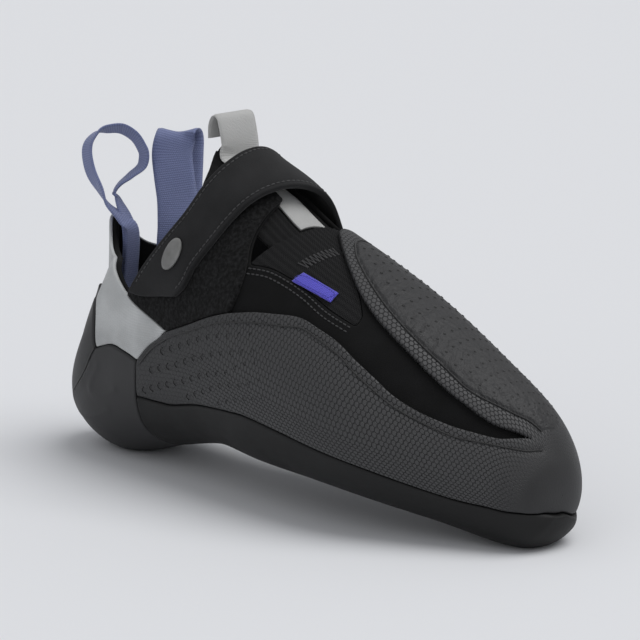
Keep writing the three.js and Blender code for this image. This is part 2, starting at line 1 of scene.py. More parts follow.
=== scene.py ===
# %% [markdown]
# A climbing shoe for the right foot is an upper pulled tight over a last, with rubber glued
# round it. Every outside piece follows the last, so this lesson first writes the last as one
# function of a station along the foot and an angle round it. Each piece is then a shell cut
# from that surface. Modelling each piece by hand would also work, but neighbours drawn from
# one function always fit.

# %% Load the fixed frame
import math

import bmesh
import bpy
import numpy as np
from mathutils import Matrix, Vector
from mathutils.kdtree import KDTree


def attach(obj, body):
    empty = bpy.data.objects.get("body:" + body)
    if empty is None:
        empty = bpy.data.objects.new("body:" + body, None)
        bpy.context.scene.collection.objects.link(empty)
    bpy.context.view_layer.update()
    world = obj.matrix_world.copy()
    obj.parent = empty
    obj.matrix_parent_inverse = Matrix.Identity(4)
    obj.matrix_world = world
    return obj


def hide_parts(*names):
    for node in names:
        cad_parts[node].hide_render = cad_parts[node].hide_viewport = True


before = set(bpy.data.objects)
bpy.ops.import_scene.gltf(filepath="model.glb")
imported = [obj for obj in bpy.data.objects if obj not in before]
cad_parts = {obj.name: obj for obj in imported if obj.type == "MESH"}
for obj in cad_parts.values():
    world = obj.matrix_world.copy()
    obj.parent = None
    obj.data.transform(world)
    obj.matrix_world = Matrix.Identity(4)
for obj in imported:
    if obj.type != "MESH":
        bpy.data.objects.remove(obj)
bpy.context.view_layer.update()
MM = 0.001
print("nodes in the frame:", len(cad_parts))

# %% [markdown]
# The camera comes first, because the shape of every piece is judged through it. A long lens
# from far away gives the calm perspective of a product picture, and a small shift of the lens
# moves the shoe in the frame without turning it.

# %% Camera at the photograph's angle
CAMERA_AZIMUTH = 46.0
CAMERA_ELEVATION = 13.0
CAMERA_DISTANCE = 1.4
CAMERA_TARGET = Vector((0.089, 0.0, 0.060))
SENSOR_WIDTH = 36.0
FOCAL_PIXELS = 3720.0
IMAGE_PIXELS = 640.0
TARGET_PIXEL = (300.0, 333.0)


def photo_camera():
    data = bpy.data.cameras.new("camera")
    data.sensor_width = SENSOR_WIDTH
    data.lens = FOCAL_PIXELS / IMAGE_PIXELS * SENSOR_WIDTH
    data.shift_x = (IMAGE_PIXELS / 2 - TARGET_PIXEL[0]) / IMAGE_PIXELS
    data.shift_y = (TARGET_PIXEL[1] - IMAGE_PIXELS / 2) / IMAGE_PIXELS
    camera = bpy.data.objects.new("camera", data)
    bpy.context.scene.collection.objects.link(camera)
    azimuth = math.radians(CAMERA_AZIMUTH)
    elevation = math.radians(CAMERA_ELEVATION)
    back = Vector((
        math.sin(azimuth) * math.cos(elevation),
        -math.cos(azimuth) * math.cos(elevation),
        math.sin(elevation),
    ))
    camera.location = CAMERA_TARGET + back * CAMERA_DISTANCE
    camera.rotation_euler = back.to_track_quat("Z", "Y").to_euler()
    bpy.context.scene.camera = camera
    return camera


camera = photo_camera()
print("camera at", [round(v, 3) for v in camera.location])

# %% [markdown]
# The driving sizes of the last and the thickness of each material are the real ones, in
# millimetres. Layers are counted outward from the last: first the upper's wall, then rubber or
# cloth over it, with a hair's clearance between them.

# %% Sizes of the shoe
LAST_LENGTH, BALL_WIDTH, INSTEP_HEIGHT, HEEL_HEIGHT = 230.0, 66.0, 96.0, 92.0
UPPER_WALL, SOLE_RUBBER, RAND_RUBBER, PANEL = 2.0, 4.2, 2.0, 1.3
LOOP_PILE, STRAP, TONGUE, GUSSET = 1.5, 2.2, 2.0, 1.4
TAG, BADGE, INSOLE, WEBBING, TAPE = 0.8, 1.0, 2.0, 1.1, 1.0
CLEARANCE, FLAT_CUT, STRAP_LIFT = 0.3, 1.5, 2.6
OVER_UPPER = UPPER_WALL + CLEARANCE
OVER_RAND = OVER_UPPER + RAND_RUBBER
OVER_PANEL = OVER_UPPER + PANEL
OVER_PILE = OVER_UPPER + LOOP_PILE
UNDER_LAST = -CLEARANCE
LAST_BASE = OVER_UPPER + SOLE_RUBBER - FLAT_CUT

# %% [markdown]
# The last is a table of sections, as a last maker draws it. Each row is a share of the driving
# sizes, and a smooth curve runs through the rows. The sections fan round the heel, so the same
# table gives the sole, the instep and the back of the heel.

# %% The last
# low x, low z, top x, top z, low y, top y, half outer, half inner, level, low round, top round
STATIONS = np.array([
    (0.943, 0.156, 0.943, 0.156, 0.121, 0.121, 0, 0, 0.5, 2, 2),
    (0.933, 0.036, 0.928, 0.281, 0.106, 0.136, 0.197, 0.182, 0.45, 2.1, 2),
    (0.891, 0.005, 0.870, 0.443, 0.106, 0.152, 0.303, 0.303, 0.4, 2, 2),
    (0.8, 0.052, 0.765, 0.615, 0.061, 0.121, 0.439, 0.364, 0.36, 2.1, 2),
    (0.696, 0.104, 0.643, 0.781, 0, 0.076, 0.545, 0.455, 0.34, 2.4, 2),
    (0.574, 0.135, 0.522, 0.901, -0.03, 0.061, 0.545, 0.515, 0.34, 2.7, 2),
    (0.443, 0.146, 0.43, 1, -0.045, 0.03, 0.5, 0.515, 0.36, 2.8, 2),
    (0.304, 0.156, 0.365, 1.104, -0.045, 0.015, 0.455, 0.485, 0.38, 2.5, 2),
    (0.157, 0.083, 0.304, 1.177, -0.015, 0, 0.439, 0.455, 0.4, 2.3, 2),
    (0.026, 0, 0.261, 1.24, 0, 0, 0.424, 0.439, 0.42, 2.3, 2),
    (-0.061, 0.087, 0.235, 1.271, 0, 0, 0.402, 0.417, 0.45, 2.1, 2),
    (-0.07, 0.293, 0.217, 1.292, 0, 0, 0.288, 0.318, 0.47, 1.6, 2),
    (-0.037, 0.554, 0.213, 1.302, 0, 0, 0.22, 0.258, 0.48, 1.5, 2),
    (-0.03, 0.772, 0.209, 1.313, 0, 0, 0.22, 0.25, 0.48, 1.4, 2),
    (-0.03, 1, 0.204, 1.323, 0, 0, 0.22, 0.242, 0.48, 1.4, 2),
])
HEEL_BASE = 9
LAST_STATION = len(STATIONS) - 1


def section_lengths():
    rows = STATIONS.copy()
    origin = rows[HEEL_BASE, 0]
    rows[:, [0, 2]] = (rows[:, [0, 2]] - origin) * LAST_LENGTH
    low_height = np.where(np.arange(len(rows)) > HEEL_BASE, HEEL_HEIGHT, INSTEP_HEIGHT)
    rows[:, 1] = rows[:, 1] * low_height + LAST_BASE
    rows[:, 3] = rows[:, 3] * INSTEP_HEIGHT + LAST_BASE
    rows[:, 4:8] *= BALL_WIDTH
    toe = rows[1][[2, 3, 0, 1, 4, 5, 6, 7, 8, 9, 10]].copy()
    toe[6:8] *= -1
    return np.vstack([toe, rows, 2 * rows[-1] - rows[-2]])


ROWS = section_lengths()


def section_at(station):
    s = np.clip(np.asarray(station, float), 0, LAST_STATION - 1e-6)
    i = np.floor(s).astype(int)
    f = (s - i)[..., None]
    before, start, end, after = ROWS[i], ROWS[i + 1], ROWS[i + 2], ROWS[i + 3]
    bend = (2 * before - 5 * start + 4 * end - after) * f ** 2
    turn = (3 * start - before - 3 * end + after) * f ** 3
    return 0.5 * (2 * start + (end - before) * f + bend + turn)


def last_point(station, angle):
    station, angle = np.broadcast_arrays(np.asarray(station, float), np.asarray(angle, float))
    c = section_at(station)
    sine, cosine = np.sin(np.radians(angle)), np.cos(np.radians(angle))
    power = np.where(cosine > 0, c[..., 9], c[..., 10])
    reach = (np.abs(sine) ** power + np.abs(cosine) ** power) ** (-1 / power)
    across = np.where(sine > 0, c[..., 6], c[..., 7]) * reach * sine
    level = c[..., 8]
    rise = level - np.where(cosine > 0, level, 1 - level) * reach * cosine
    x = c[..., 0] + (c[..., 2] - c[..., 0]) * rise
    z = c[..., 1] + (c[..., 3] - c[..., 1]) * rise
    y = c[..., 4] + (c[..., 5] - c[..., 4]) * rise - across
    return np.stack([x, y, z], -1)


def last_normal(station, angle):
    step = 0.02
    s = np.maximum(np.asarray(station, float), step)
    along = last_point(s + step, angle) - last_point(s - step + 1e-3, angle)
    around = last_point(s, np.asarray(angle) + 1) - last_point(s, np.asarray(angle) - 1)
    normal = np.cross(around, along)
    return normal / np.maximum(np.linalg.norm(normal, axis=-1, keepdims=True), 1e-9)


print("toe tip of the last at", np.round(last_point(0.0, 0.0), 1))

# %% [markdown]
# An outline is drawn on the last as a pattern cutter would: a few points of station and angle
# with a smooth curve through them. Two pieces that meet share the same curve, so the seam
# between them is one line.

# %% Outlines
def curve(points, steps=10):
    p = np.array(points, float)
    n = len(p)
    out = []
    for i in range(n - 1):
        p0, p1, p2, p3 = p[max(i - 1, 0)], p[i], p[i + 1], p[min(i + 2, n - 1)]
        for k in range(steps):
            t = k / steps
            v0, v1 = (p2 - p0) / 2, (p3 - p1) / 2
            out.append(
                (2 * p1 - 2 * p2 + v0 + v1) * t ** 3 + (-3 * p1 + 3 * p2 - 2 * v0 - v1) * t ** 2 + v0 * t + p1
            )
    return np.array(out + [p[-1]])


def mirrored(stretch, turn=360.0):
    return np.stack([stretch[:, 0], turn - stretch[:, 1]], -1)


def turned(stretch, turn):
    return np.stack([stretch[:, 0], stretch[:, 1] + turn], -1)


def spacing(a, b):
    return math.hypot(a[0] - b[0], (a[1] - b[1]) / 30)


class Region:
    """A closed outline; a stretch given as ("open", points) closes it without being an edge."""

    def __init__(self, first_angle, *stretches):
        self.first_angle = first_angle
        corners = []
        samples = []
        clean = [(s[1], False) if isinstance(s, tuple) else (s, True) for s in stretches]
        for i, (points, drawn) in enumerate(clean):
            points = np.asarray(points, float)
            other = clean[1][0] if i == 0 else corners
            reach = [other[0], other[-1]] if i == 0 else [other[-1]]
            gaps = [min(spacing(end, place) for place in reach) for end in (points[0], points[-1])]
            run = points if (gaps[0] < gaps[1]) == (i > 0) else points[::-1]
            corners.extend(run.tolist())
            if drawn:
                samples.append(resampled(run))
        self.corners = np.array(corners)
        self.samples = np.vstack(samples)
        self.tree = KDTree(len(self.samples))
        for i, p in enumerate(self.samples):
            self.tree.insert(p, i)
        self.tree.balance()

    def distance(self, points):
        last = len(self.samples) - 1
        near = np.array([self.tree.find(p)[1] for p in points])
        best = np.full(len(points), 1e9)
        for shift in (-1, 0):
            a = self.samples[np.clip(near + shift, 0, last)]
            b = self.samples[np.clip(near + shift + 1, 0, last)]
            ab = b - a
            length = np.maximum((ab ** 2).sum(-1), 1e-12)
            t = np.clip(((points - a) * ab).sum(-1) / length, 0, 1)[:, None]
            gap = np.linalg.norm(points - a - ab * t, axis=-1)
            ok = length < 4.0
            best = np.minimum(best, np.where(ok, gap, np.linalg.norm(points - self.samples[near], axis=-1)))
        return best

    def depth(self, station, angle, points):
        turned_angle = self.first_angle + np.mod(angle - self.first_angle, 360)
        inside = np.zeros(len(station), bool)
        for (s0, a0), (s1, a1) in zip(np.roll(self.corners, 1, axis=0), self.corners):
            if a0 == a1:
                continue
            crosses = (a0 > turned_angle) != (a1 > turned_angle)
            inside ^= crosses & (station < s0 + (s1 - s0) * (turned_angle - a0) / (a1 - a0))
        return np.where(inside, 1, -1) * self.distance(points)


def resampled(stretch, gap=0.5):
    places = last_point(stretch[:, 0], stretch[:, 1])
    out = [places[:1]]
    for a, b in zip(places[:-1], places[1:]):
        n = max(1, int(np.linalg.norm(b - a) / gap))
        out.append(a + (b - a) * np.linspace(1 / n, 1, n)[:, None])
    return np.vstack(out)


parting_outer = curve([
    (8.25, 59), (7.75, 56), (7.4, 55), (6.75, 60), (6.2, 66), (5.83, 69), (5.2, 70), (4.7, 70),
    (4, 70.5), (3.3, 70), (2.6, 71), (2.1, 74), (1.6, 75.6),
    (1.2, 75.5), (0.95, 71.3), (0.75, 64), (0.6, 54), (0.5, 34), (0.45, 0),
])
parting_inner = curve([
    (0.45, 0), (0.52, -22), (0.75, -40), (1.12, -54), (1.7, -63), (2.6, -70), (3.3, -72), (4, -73),
    (4.7, -73), (5.2, -72), (5.83, -69), (6.2, -66), (6.75, -60), (7.4, -55), (7.75, -56), (8.25, -59),
])
heel_seam_under = curve([(8.25, 59), (8.2, 49), (8.15, 41), (8.08, 32), (8.02, 20), (8, 0)])
heel_seam_side = curve([(8.25, 59), (8.27, 69), (8.32, 78)])
rand_top_at_panel = curve([(8.32, 78), (8.1, 86), (7.75, 94)])
rand_top_at_pile = curve([(7.75, 94), (7.2, 100), (6.4, 112)])
rand_top_at_vamp = curve([
    (6.4, 112), (5.88, 119), (5.43, 124), (4.96, 129), (4.61, 129.5), (4.29, 129), (3.99, 126),
    (3.69, 123), (3.44, 120), (3.16, 119), (2.82, 120), (2.42, 124), (1.89, 135), (1.5, 157),
])
patch_edge_outer = curve([
    (1.5, 157), (1.97, 142), (2.27, 138), (2.54, 138), (2.82, 139), (3.12, 141), (3.41, 144),
    (3.71, 147), (4.06, 151), (4.41, 157), (4.81, 166), (5.26, 177), (5.63, 189), (5.72, 202),
])
patch_edge_inner = curve([
    (5.72, 202), (5.6, 218), (5.5, 230), (5.8, 241), (6.4, 249), (7.2, 260), (7.75, 266),
])
cup_top = curve([(8.32, 78), (8.6, 81), (8.97, 82.5), (9.25, 80.5), (9.57, 74.5)])
sling_edge = curve([
    (9.57, 74.5), (9.7, 77), (9.82, 80), (9.99, 83), (10.2, 83.5), (10.5, 80), (11, 69), (11.6, 48),
    (12.1, 24), (12.25, 0),
])
panel_front = curve([(7.75, 94), (8.4, 98), (8.87, 100), (9.32, 101)])
rim_outer = curve([
    (13.75, 0), (13.6, 10), (13.35, 18), (13, 28), (12.5, 47), (11.9, 68), (11.16, 88), (10.6, 97),
    (10, 101), (9.32, 101),
])
rim_under_strap = curve([(9.32, 101), (8.95, 107), (8.6, 118), (8.45, 132), (8.35, 150), (8.2, 166)])
rim_inner_throat = curve([(8.1, 196), (8.4, 214), (8.9, 232), (9.5, 245), (10.2, 254)])
rim_inner_heel = curve([
    (10.2, 254), (10.7, 260), (11.1, 270), (11.6, 282), (12.2, 300), (12.6, 318), (13, 335),
    (13.45, 350), (13.75, 360),
])
throat_outer = curve([(8.2, 166), (7.5, 172), (6.73, 173)])
quarter_front = curve([(6.73, 173), (6.62, 149), (6.53, 140), (6.4, 134)])
gusset_low = curve([(6.4, 134), (5.91, 140), (5.46, 142), (5.03, 142), (4.61, 140.5), (4.2, 141)])
slot_toe = curve([(4.2, 141), (4.2, 148), (4.5, 160), (4.9, 170), (5.25, 183), (5.4, 196)])
slot_inner = curve([(5.4, 196), (5.8, 205), (6.4, 204), (7.2, 199), (8.1, 196)])
gusset_free = curve([(6.4, 134), (6.12, 151), (5.96, 161), (5.88, 174), (5.87, 188), (5.85, 203)])
gusset_inner = curve([(5.4, 196), (5.65, 201), (5.85, 203)])
pile_front = curve([(6.4, 112), (6.34, 120), (6.34, 128), (6.4, 134)])
panel_front_inner = curve([(7.75, 266), (8.6, 262), (9.5, 258), (10.2, 254)])
lasting_edge = curve([(2.4, 0), (2.6, 18), (3.4, 30), (5, 34), (7, 32), (8.6, 30), (9.3, 16), (9.45, 0)])
insole_edge = curve([
    (1, 0), (1.15, 25), (1.7, 42), (3, 48), (5, 50), (7, 48), (8.8, 48), (9.6, 35), (9.85, 0),
])
tongue_outer = curve([
    (4.9, 180), (5.3, 160), (6, 150), (7, 146), (8, 144), (8.75, 146), (9.2, 158), (9.9, 170), (10.3, 180),
])
tongue_inner = curve([
    (10.3, 180), (9.9, 192), (9.2, 205), (8.75, 217), (8, 218), (7, 217), (6, 212), (5.3, 200), (4.9, 180),
])
TAPE_END = 8.6
TAPE_MIDDLE = 184
tape_side = curve([(6.02, TAPE_MIDDLE - 12), (7.6, TAPE_MIDDLE - 12), (TAPE_END, TAPE_MIDDLE - 11)])
strap_low = curve([
    (7.68, 107), (7.53, 112), (7.46, 120), (7.33, 128), (7.15, 142), (6.95, 160), (6.82, 175),
    (6.7, 190), (6.55, 205), (6.45, 220), (6.4, 235), (6.4, 246),
])
strap_high = curve([
    (7.6, 250), (7.85, 234), (8.1, 218), (8.3, 202), (8.42, 188), (8.4, 175), (8.34, 162), (8.36, 150),
    (8.42, 137), (8.62, 126), (8.92, 113), (9.08, 103),
])
strap_tab = curve([(9.08, 103), (8.4, 104), (7.68, 107)])

BEYOND = LAST_STATION + 1.0
regions = {
    "collar": Region(
        0, rim_outer, rim_under_strap, throat_outer, quarter_front, gusset_low, slot_toe, slot_inner,
        rim_inner_throat, rim_inner_heel, ("open", [(BEYOND, 360), (BEYOND, 0)]),
    ),
    "lasting": Region(-180, lasting_edge, mirrored(lasting_edge, 0)),
    "insole": Region(-180, insole_edge, mirrored(insole_edge, 0)),
    "outsole": Region(-180, parting_inner, mirrored(heel_seam_under, 0), heel_seam_under, parting_outer),
    "rand": Region(
        0, parting_outer, ("open", [(-1, 0), (-1, 360)]), turned(parting_inner, 360),
        mirrored(heel_seam_side), mirrored(rand_top_at_panel), patch_edge_inner, patch_edge_outer,
        rand_top_at_vamp, rand_top_at_pile, rand_top_at_panel, heel_seam_side,
    ),
    "heel_cup": Region(
        -180, heel_seam_under, mirrored(heel_seam_under, 0), mirrored(heel_seam_side, 0),
        mirrored(cup_top, 0), mirrored(sling_edge, 0), sling_edge, cup_top, heel_seam_side,
    ),
    "heel_panel": Region(
        -180, sling_edge, mirrored(sling_edge, 0), mirrored(cup_top, 0), mirrored(rand_top_at_panel, 0),
        turned(panel_front_inner, -360), turned(rim_inner_heel, -360), rim_outer, panel_front,
        rand_top_at_panel, cup_top,
    ),
    "pile_patch": Region(0, rand_top_at_pile, pile_front, quarter_front, throat_outer, rim_under_strap, panel_front),
    "gusset": Region(0, gusset_low, slot_toe, gusset_inner, gusset_free),
    "tongue": Region(0, tongue_outer, tongue_inner),
    "tongue_tape": Region(
        0, tape_side, curve([(TAPE_END, TAPE_MIDDLE - 11), (TAPE_END, TAPE_MIDDLE + 11)]),
        mirrored(tape_side, 2 * TAPE_MIDDLE), curve([(6.02, TAPE_MIDDLE + 12), (6.02, TAPE_MIDDLE - 12)]),
    ),
    "strap": Region(0, strap_low, curve([(6.4, 246), (7.6, 250)]), strap_high, strap_tab),
}
print("outlines drawn:", len(regions))

# %% [markdown]
# A shell is a patch of the last with a thickness. The surface is laid as a fine net of
# triangles, cut exactly along the outline, and cut again on lines just inside it, so that the
# edge can be rounded as cut rubber or a turned hem is. A Boolean would give the same outline,
# but not the rounded edge or the clean loops of faces along it.

# %% Cutting a net along an outline
class Net:
    """Triangles on the last: a station and an angle at each vertex."""

    def __init__(self, stations, angles):
        s, a = np.meshgrid(stations, angles, indexing="ij")
        self.s, self.a = s.ravel(), a.ravel()
        rows, columns = len(stations), len(angles)
        i, j = np.meshgrid(np.arange(rows - 1), np.arange(columns - 1), indexing="ij")
        p = (i * columns + j).ravel()
        q, r, t = p + 1, p + columns + 1, p + columns
        self.faces = np.vstack([np.stack([p, q, r], -1), np.stack([p, r, t], -1)])

    def split(self, value, level, keep_low):
        """Cuts every triangle on the line where value is level; below it is kept or dropped."""
        v = value - level
        high = v > 0
        count = high[self.faces].sum(-1)
        whole = self.faces[(count == 3) | ((count == 0) & keep_low)]
        mixed = self.faces[(count == 1) | (count == 2)]
        if not len(mixed):
            self.faces = whole
            return value
        edges = np.sort(np.vstack([mixed[:, [0, 1]], mixed[:, [1, 2]], mixed[:, [2, 0]]]), axis=-1)
        edges = np.unique(edges[high[edges[:, 0]] != high[edges[:, 1]]], axis=0)
        t = v[edges[:, 0]] / (v[edges[:, 0]] - v[edges[:, 1]])
        first = len(self.s)
        number = {(int(a), int(b)): first + k for k, (a, b) in enumerate(edges)}
        self.s = np.append(self.s, self.s[edges[:, 0]] * (1 - t) + self.s[edges[:, 1]] * t)
        self.a = np.append(self.a, self.a[edges[:, 0]] * (1 - t) + self.a[edges[:, 1]] * t)
        made = []
        for face in mixed:
            ring = []
            for k in range(3):
                a, b = int(face[k]), int(face[(k + 1) % 3])
                ring.append((a, high[a]))
                if high[a] != high[b]:
                    ring.append((number[(min(a, b), max(a, b))], None))
            for side in (True, False) if keep_low else (True,):
                kept = [i for i, s in ring if s is None or bool(s) == side]
                made.extend([kept[0], kept[k - 1], kept[k]] for k in range(2, len(kept)))
        self.faces = np.vstack([whole, np.array(made, int)])
        return np.append(value, np.full(len(edges), float(level)))

    def tidy(self):
        used = np.unique(self.faces)
        place = np.full(len(self.s), -1)
        place[used] = np.arange(len(used))
        self.s, self.a, self.faces = self.s[used], self.a[used], place[self.faces]
        return used


def distance_along():
    """Length of the side of the last up to each station, for the surface map."""
    stations = np.linspace(0, LAST_STATION, 281)
    line = last_point(stations, 100.0)
    return stations, np.append(0, np.cumsum(np.linalg.norm(np.diff(line, axis=0), axis=-1)))


MAP_STATIONS, MAP_LENGTHS = distance_along()
DEGREE = 0.66


def surface_map(s, a):
    """Flat coordinates in metres: along the shoe, and round it as seen from the outer side."""
    return np.stack([np.interp(s, MAP_STATIONS, MAP_LENGTHS) * MM, a * DEGREE * MM], -1)


def level_of(level, s, a, points, depth):
    return level(s, a, points, depth) if callable(level) else np.full(len(s), float(level))


def shell(name, low, high, keep=None, cut=(), edge=0.5, step=(0.06, 2.0), span=(0, LAST_STATION),
          angles=None, floor=False, relief=None, marks=None):
    """One piece of the shoe as a closed shell between two faces of the last."""
    first = angles[0] if angles else (keep.first_angle if keep else 0)
    final = angles[1] if angles else first + 360
    rows = int((span[1] - span[0]) / step[0]) + 1
    columns = int((final - first) / step[1]) + 1
    net = Net(np.linspace(*span, rows), np.linspace(first, final, columns))
    points = last_point(net.s, net.a)
    depth = np.full(len(net.s), 1e3)
    if keep:
        depth = keep.depth(net.s, net.a, points)
    for region in cut:
        depth = np.minimum(depth, -region.depth(net.s, net.a, points))
    border = CLEARANCE / 2
    depth = net.split(depth, border, keep_low=False)
    for share in (0.12, 0.4, 1.0):
        depth = net.split(depth, border + edge * share, keep_low=True)
    depth = depth[net.tidy()]
    points, normals = last_point(net.s, net.a), last_normal(net.s, net.a)
    inset = np.clip(edge - (depth - border), 0, edge)
    rounding = edge - np.sqrt(np.maximum(edge ** 2 - inset ** 2, 0))
    outer_height = level_of(high, net.s, net.a, points, depth) - rounding
    if relief:
        outer_height = outer_height + relief(net.s, net.a, points, depth) * np.clip((depth - border) / edge, 0, 1)
    inner_height = level_of(low, net.s, net.a, points, depth)
    outer = points + normals * outer_height[:, None]
    inner = points + normals * inner_height[:, None]
    if floor:
        outer[:, 2] = np.maximum(outer[:, 2], 0)
        inner[:, 2] = np.maximum(inner[:, 2], 0)
    item = closed_shell(name, net, outer, inner)
    for label, mark in (marks or {}).items():
        store_mark(item, label, mark(net.s, net.a, points, depth), outer)
    return item


def store_mark(item, label, values, outer):
    """Keeps a value of the outline as a vertex attribute, for the finish to read."""
    tree = KDTree(len(outer))
    for i, p in enumerate(outer * MM):
        tree.insert(p, i)
    tree.balance()
    found = [float(values[tree.find(v.co)[1]]) for v in item.data.vertices]
    item.data.attributes.new(label, "FLOAT", "POINT").data.foreach_set("value", found)


def closed_shell(name, net, outer, inner):
    """Joins the outer and inner faces with a wall along the border."""
    _, first_index, same = np.unique(
        np.round(outer * 1000).astype(int), axis=0, return_index=True, return_inverse=True
    )
    same = same.reshape(-1)
    flat = surface_map(net.s, net.a)
    faces = same[net.faces]
    solid = (faces[:, 0] != faces[:, 1]) & (faces[:, 1] != faces[:, 2]) & (faces[:, 2] != faces[:, 0])
    faces, corner_map = faces[solid], flat[net.faces[solid]]
    outer, inner = outer[first_index], inner[first_index]
    count = len(outer)
    edges = np.vstack([faces[:, [0, 1]], faces[:, [1, 2]], faces[:, [2, 0]]])
    edge_map = np.vstack([corner_map[:, [0, 1]], corner_map[:, [1, 2]], corner_map[:, [2, 0]]])
    code = edges[:, 0] * (count + 1) + edges[:, 1]
    back = edges[:, 1] * (count + 1) + edges[:, 0]
    rim = ~np.isin(code, back)
    a, b = edges[rim, 0], edges[rim, 1]
    walls = np.stack([b, a, a + count, b + count], -1)
    wall_map = np.stack([edge_map[rim, 1], edge_map[rim, 0], edge_map[rim, 0], edge_map[rim, 1]], 1)
    polygons = faces.tolist() + (faces[:, ::-1] + count).tolist() + walls.tolist()
    uv = np.vstack([corner_map.reshape(-1, 2), corner_map[:, ::-1].reshape(-1, 2), wall_map.reshape(-1, 2)])
    return mesh_object(name, np.vstack([outer, inner]) * MM, polygons, uv)


def mesh_object(name, points, polygons, uv=None, smooth=True):
    mesh = bpy.data.meshes.new(name)
    mesh.from_pydata([tuple(p) for p in points], [], polygons)
    if uv is not None:
        layer = mesh.uv_layers.new(name="surface")
        layer.data.foreach_set("uv", np.asarray(uv, np.float32).ravel())
    mesh.validate()
    if smooth:
        mesh.shade_smooth()
    item = bpy.data.objects.new(name, mesh)
    bpy.context.scene.collection.objects.link(item)
    return item


# %% [markdown]
# Grooves, seams and wrinkles are low relief on the outer face. Each one is a curve on the last
# and a soft profile across it, so it stays at its real width wherever the piece curves.

# %% Grooves and ridges along a curve
def near_curve(stretch):
    samples = resampled(np.asarray(stretch, float), 0.4)
    tree = KDTree(len(samples))
    for i, p in enumerate(samples):
        tree.insert(p, i)
    tree.balance()
    return lambda points: np.array([tree.find(p)[2] for p in points])


def profile(stretch, width, height):
    """A ridge, or a groove where height is negative, with a soft round profile."""
    gap = near_curve(stretch)
    return lambda points: height * np.exp(-(gap(points) / width) ** 2)


def smoothstep(x, low, high):
    t = np.clip((np.asarray(x, float) - low) / (high - low), 0, 1)
    return t * t * (3 - 2 * t)


def sole_face(s, a, points, depth):
    from_low = np.abs(np.mod(a + 180, 360) - 180)
    return OVER_UPPER + SOLE_RUBBER + (RAND_RUBBER - SOLE_RUBBER) * smoothstep(from_low, 35, 65)


def strap_face(s, a):
    on_pile = OVER_PILE + CLEARANCE
    over_tongue = smoothstep(a, 132, 164)
    down_inside = smoothstep(a, 196, 226)
    return on_pile + STRAP_LIFT * over_tongue + (OVER_UPPER - on_pile - STRAP_LIFT) * down_inside


# %% [markdown]
# The upper is black microfibre, a thin wall with a collar, a throat and an opening underneath.
# Its wall gets soft creases where the foot bends, made as shallow troughs across the vamp.

# %% Upper, insole and tongue
creases = [
    (curve([(6.2, 112), (6.0, 122), (5.95, 132)]), 1.6, -0.25),
    (curve([(5.2, 119), (5.0, 128), (5.05, 138)]), 1.8, -0.3),
    (curve([(3.3, 121), (3.1, 130), (3.2, 138)]), 1.6, -0.25),
]
crease_fields = [profile(*c) for c in creases]


def upper_relief(s, a, points, depth):
    return sum(field(points) for field in crease_fields)


upper = shell("upper_microfibre", 0.0, UPPER_WALL, cut=(regions["collar"], regions["lasting"]),
              edge=0.7, step=(0.075, 2.5), relief=upper_relief)
insole = shell("insole_liner", UNDER_LAST - INSOLE, UNDER_LAST, keep=regions["insole"], edge=0.8,
               step=(0.1, 3.0), span=(0, 10.5))

RIB_PITCH = 2.4


def rib_relief(s, a, points, depth):
    return 0.22 * np.cos(2 * math.pi * points[:, 1] / RIB_PITCH)


def tongue_face(s, a, points, depth):
    on_tape = 1 - smoothstep(np.abs(a - TAPE_MIDDLE), 13, 15)
    return UNDER_LAST - (TAPE + CLEARANCE) * on_tape


tongue = shell("tongue_padded", UNDER_LAST - TAPE - CLEARANCE - TONGUE, tongue_face, keep=regions["tongue"],
               edge=0.7, step=(0.03, 0.8), span=(4.8, 10.4), angles=(140, 222), relief=rib_relief)
gusset = shell("gusset_rib_knit", CLEARANCE, CLEARANCE + GUSSET, keep=regions["gusset"], edge=0.4,
               step=(0.03, 0.8), span=(4.1, 6.5), angles=(130, 206),
               relief=lambda s, a, p, d: 0.2 * np.cos(2 * math.pi * p[:, 1] / 2.0))
tongue_tape = shell("tongue_tape_woven", UNDER_LAST - TAPE, UNDER_LAST, keep=regions["tongue_tape"],
                    edge=0.3, step=(0.05, 1.0), span=(5.9, 8.7), angles=(168, 200))
print("upper faces:", len(upper.data.polygons))

# %% [markdown]
# The rubber is three pieces on the real shoe: a sole cut from sheet, a rand stretched round the
# sides and over the toe, and a moulded heel cup. Rounded edges of half a millimetre make the
# seams read as glued rubber.

# %% Sole, rand and heel cup
outsole = shell("outsole_rubber", OVER_UPPER, sole_face, keep=regions["outsole"], edge=0.8,
                span=(0, 8.4), floor=True)
rand_groove = curve([
    (8.2, 77), (7.95, 86), (7.65, 92), (7.15, 97.5), (6.48, 107), (5.83, 115), (5.23, 121), (4.88, 125),
    (4.56, 125), (4.21, 123.5), (3.94, 120), (3.66, 117), (3.39, 114.5), (3.07, 114), (2.69, 115),
    (2.39, 118), (1.79, 130), (1.4, 144), (1.2, 162),
])
patch_groove = curve([
    (1.50, 174), (1.74, 167), (1.99, 158), (2.39, 150), (2.67, 148), (2.97, 150), (3.31, 152), (3.66, 155),
    (4.09, 160), (4.56, 168), (4.96, 177), (5.25, 189), (5.3, 202),
])
rand_seam = profile(rand_groove, 0.9, -0.45)
patch_seam = profile(patch_groove, 0.9, -0.45)


toe_patch = Region(0, patch_groove, curve([
    (5.3, 202), (5.2, 214), (4.9, 224), (4.2, 234), (3.4, 238), (2.6, 236), (1.9, 222), (1.5, 196), (1.5, 174),
]))


def rand_relief(s, a, points, depth):
    return rand_seam(points) + patch_seam(points)


def hex_area(s, a, points, depth):
    """1 where the rubber carries the net of hexagons and its painted light and shade, fading out
    over the heel end and the toe.
    """
    on_patch = smoothstep(toe_patch.depth(s, a, points), -0.3, 0.6)
    at_toe = smoothstep(points[:, 0], 196, 210)
    at_heel = smoothstep(s, 5.6, 7.6)
    return (1 - on_patch) * (1 - at_toe) * (1 - 0.75 * at_heel)


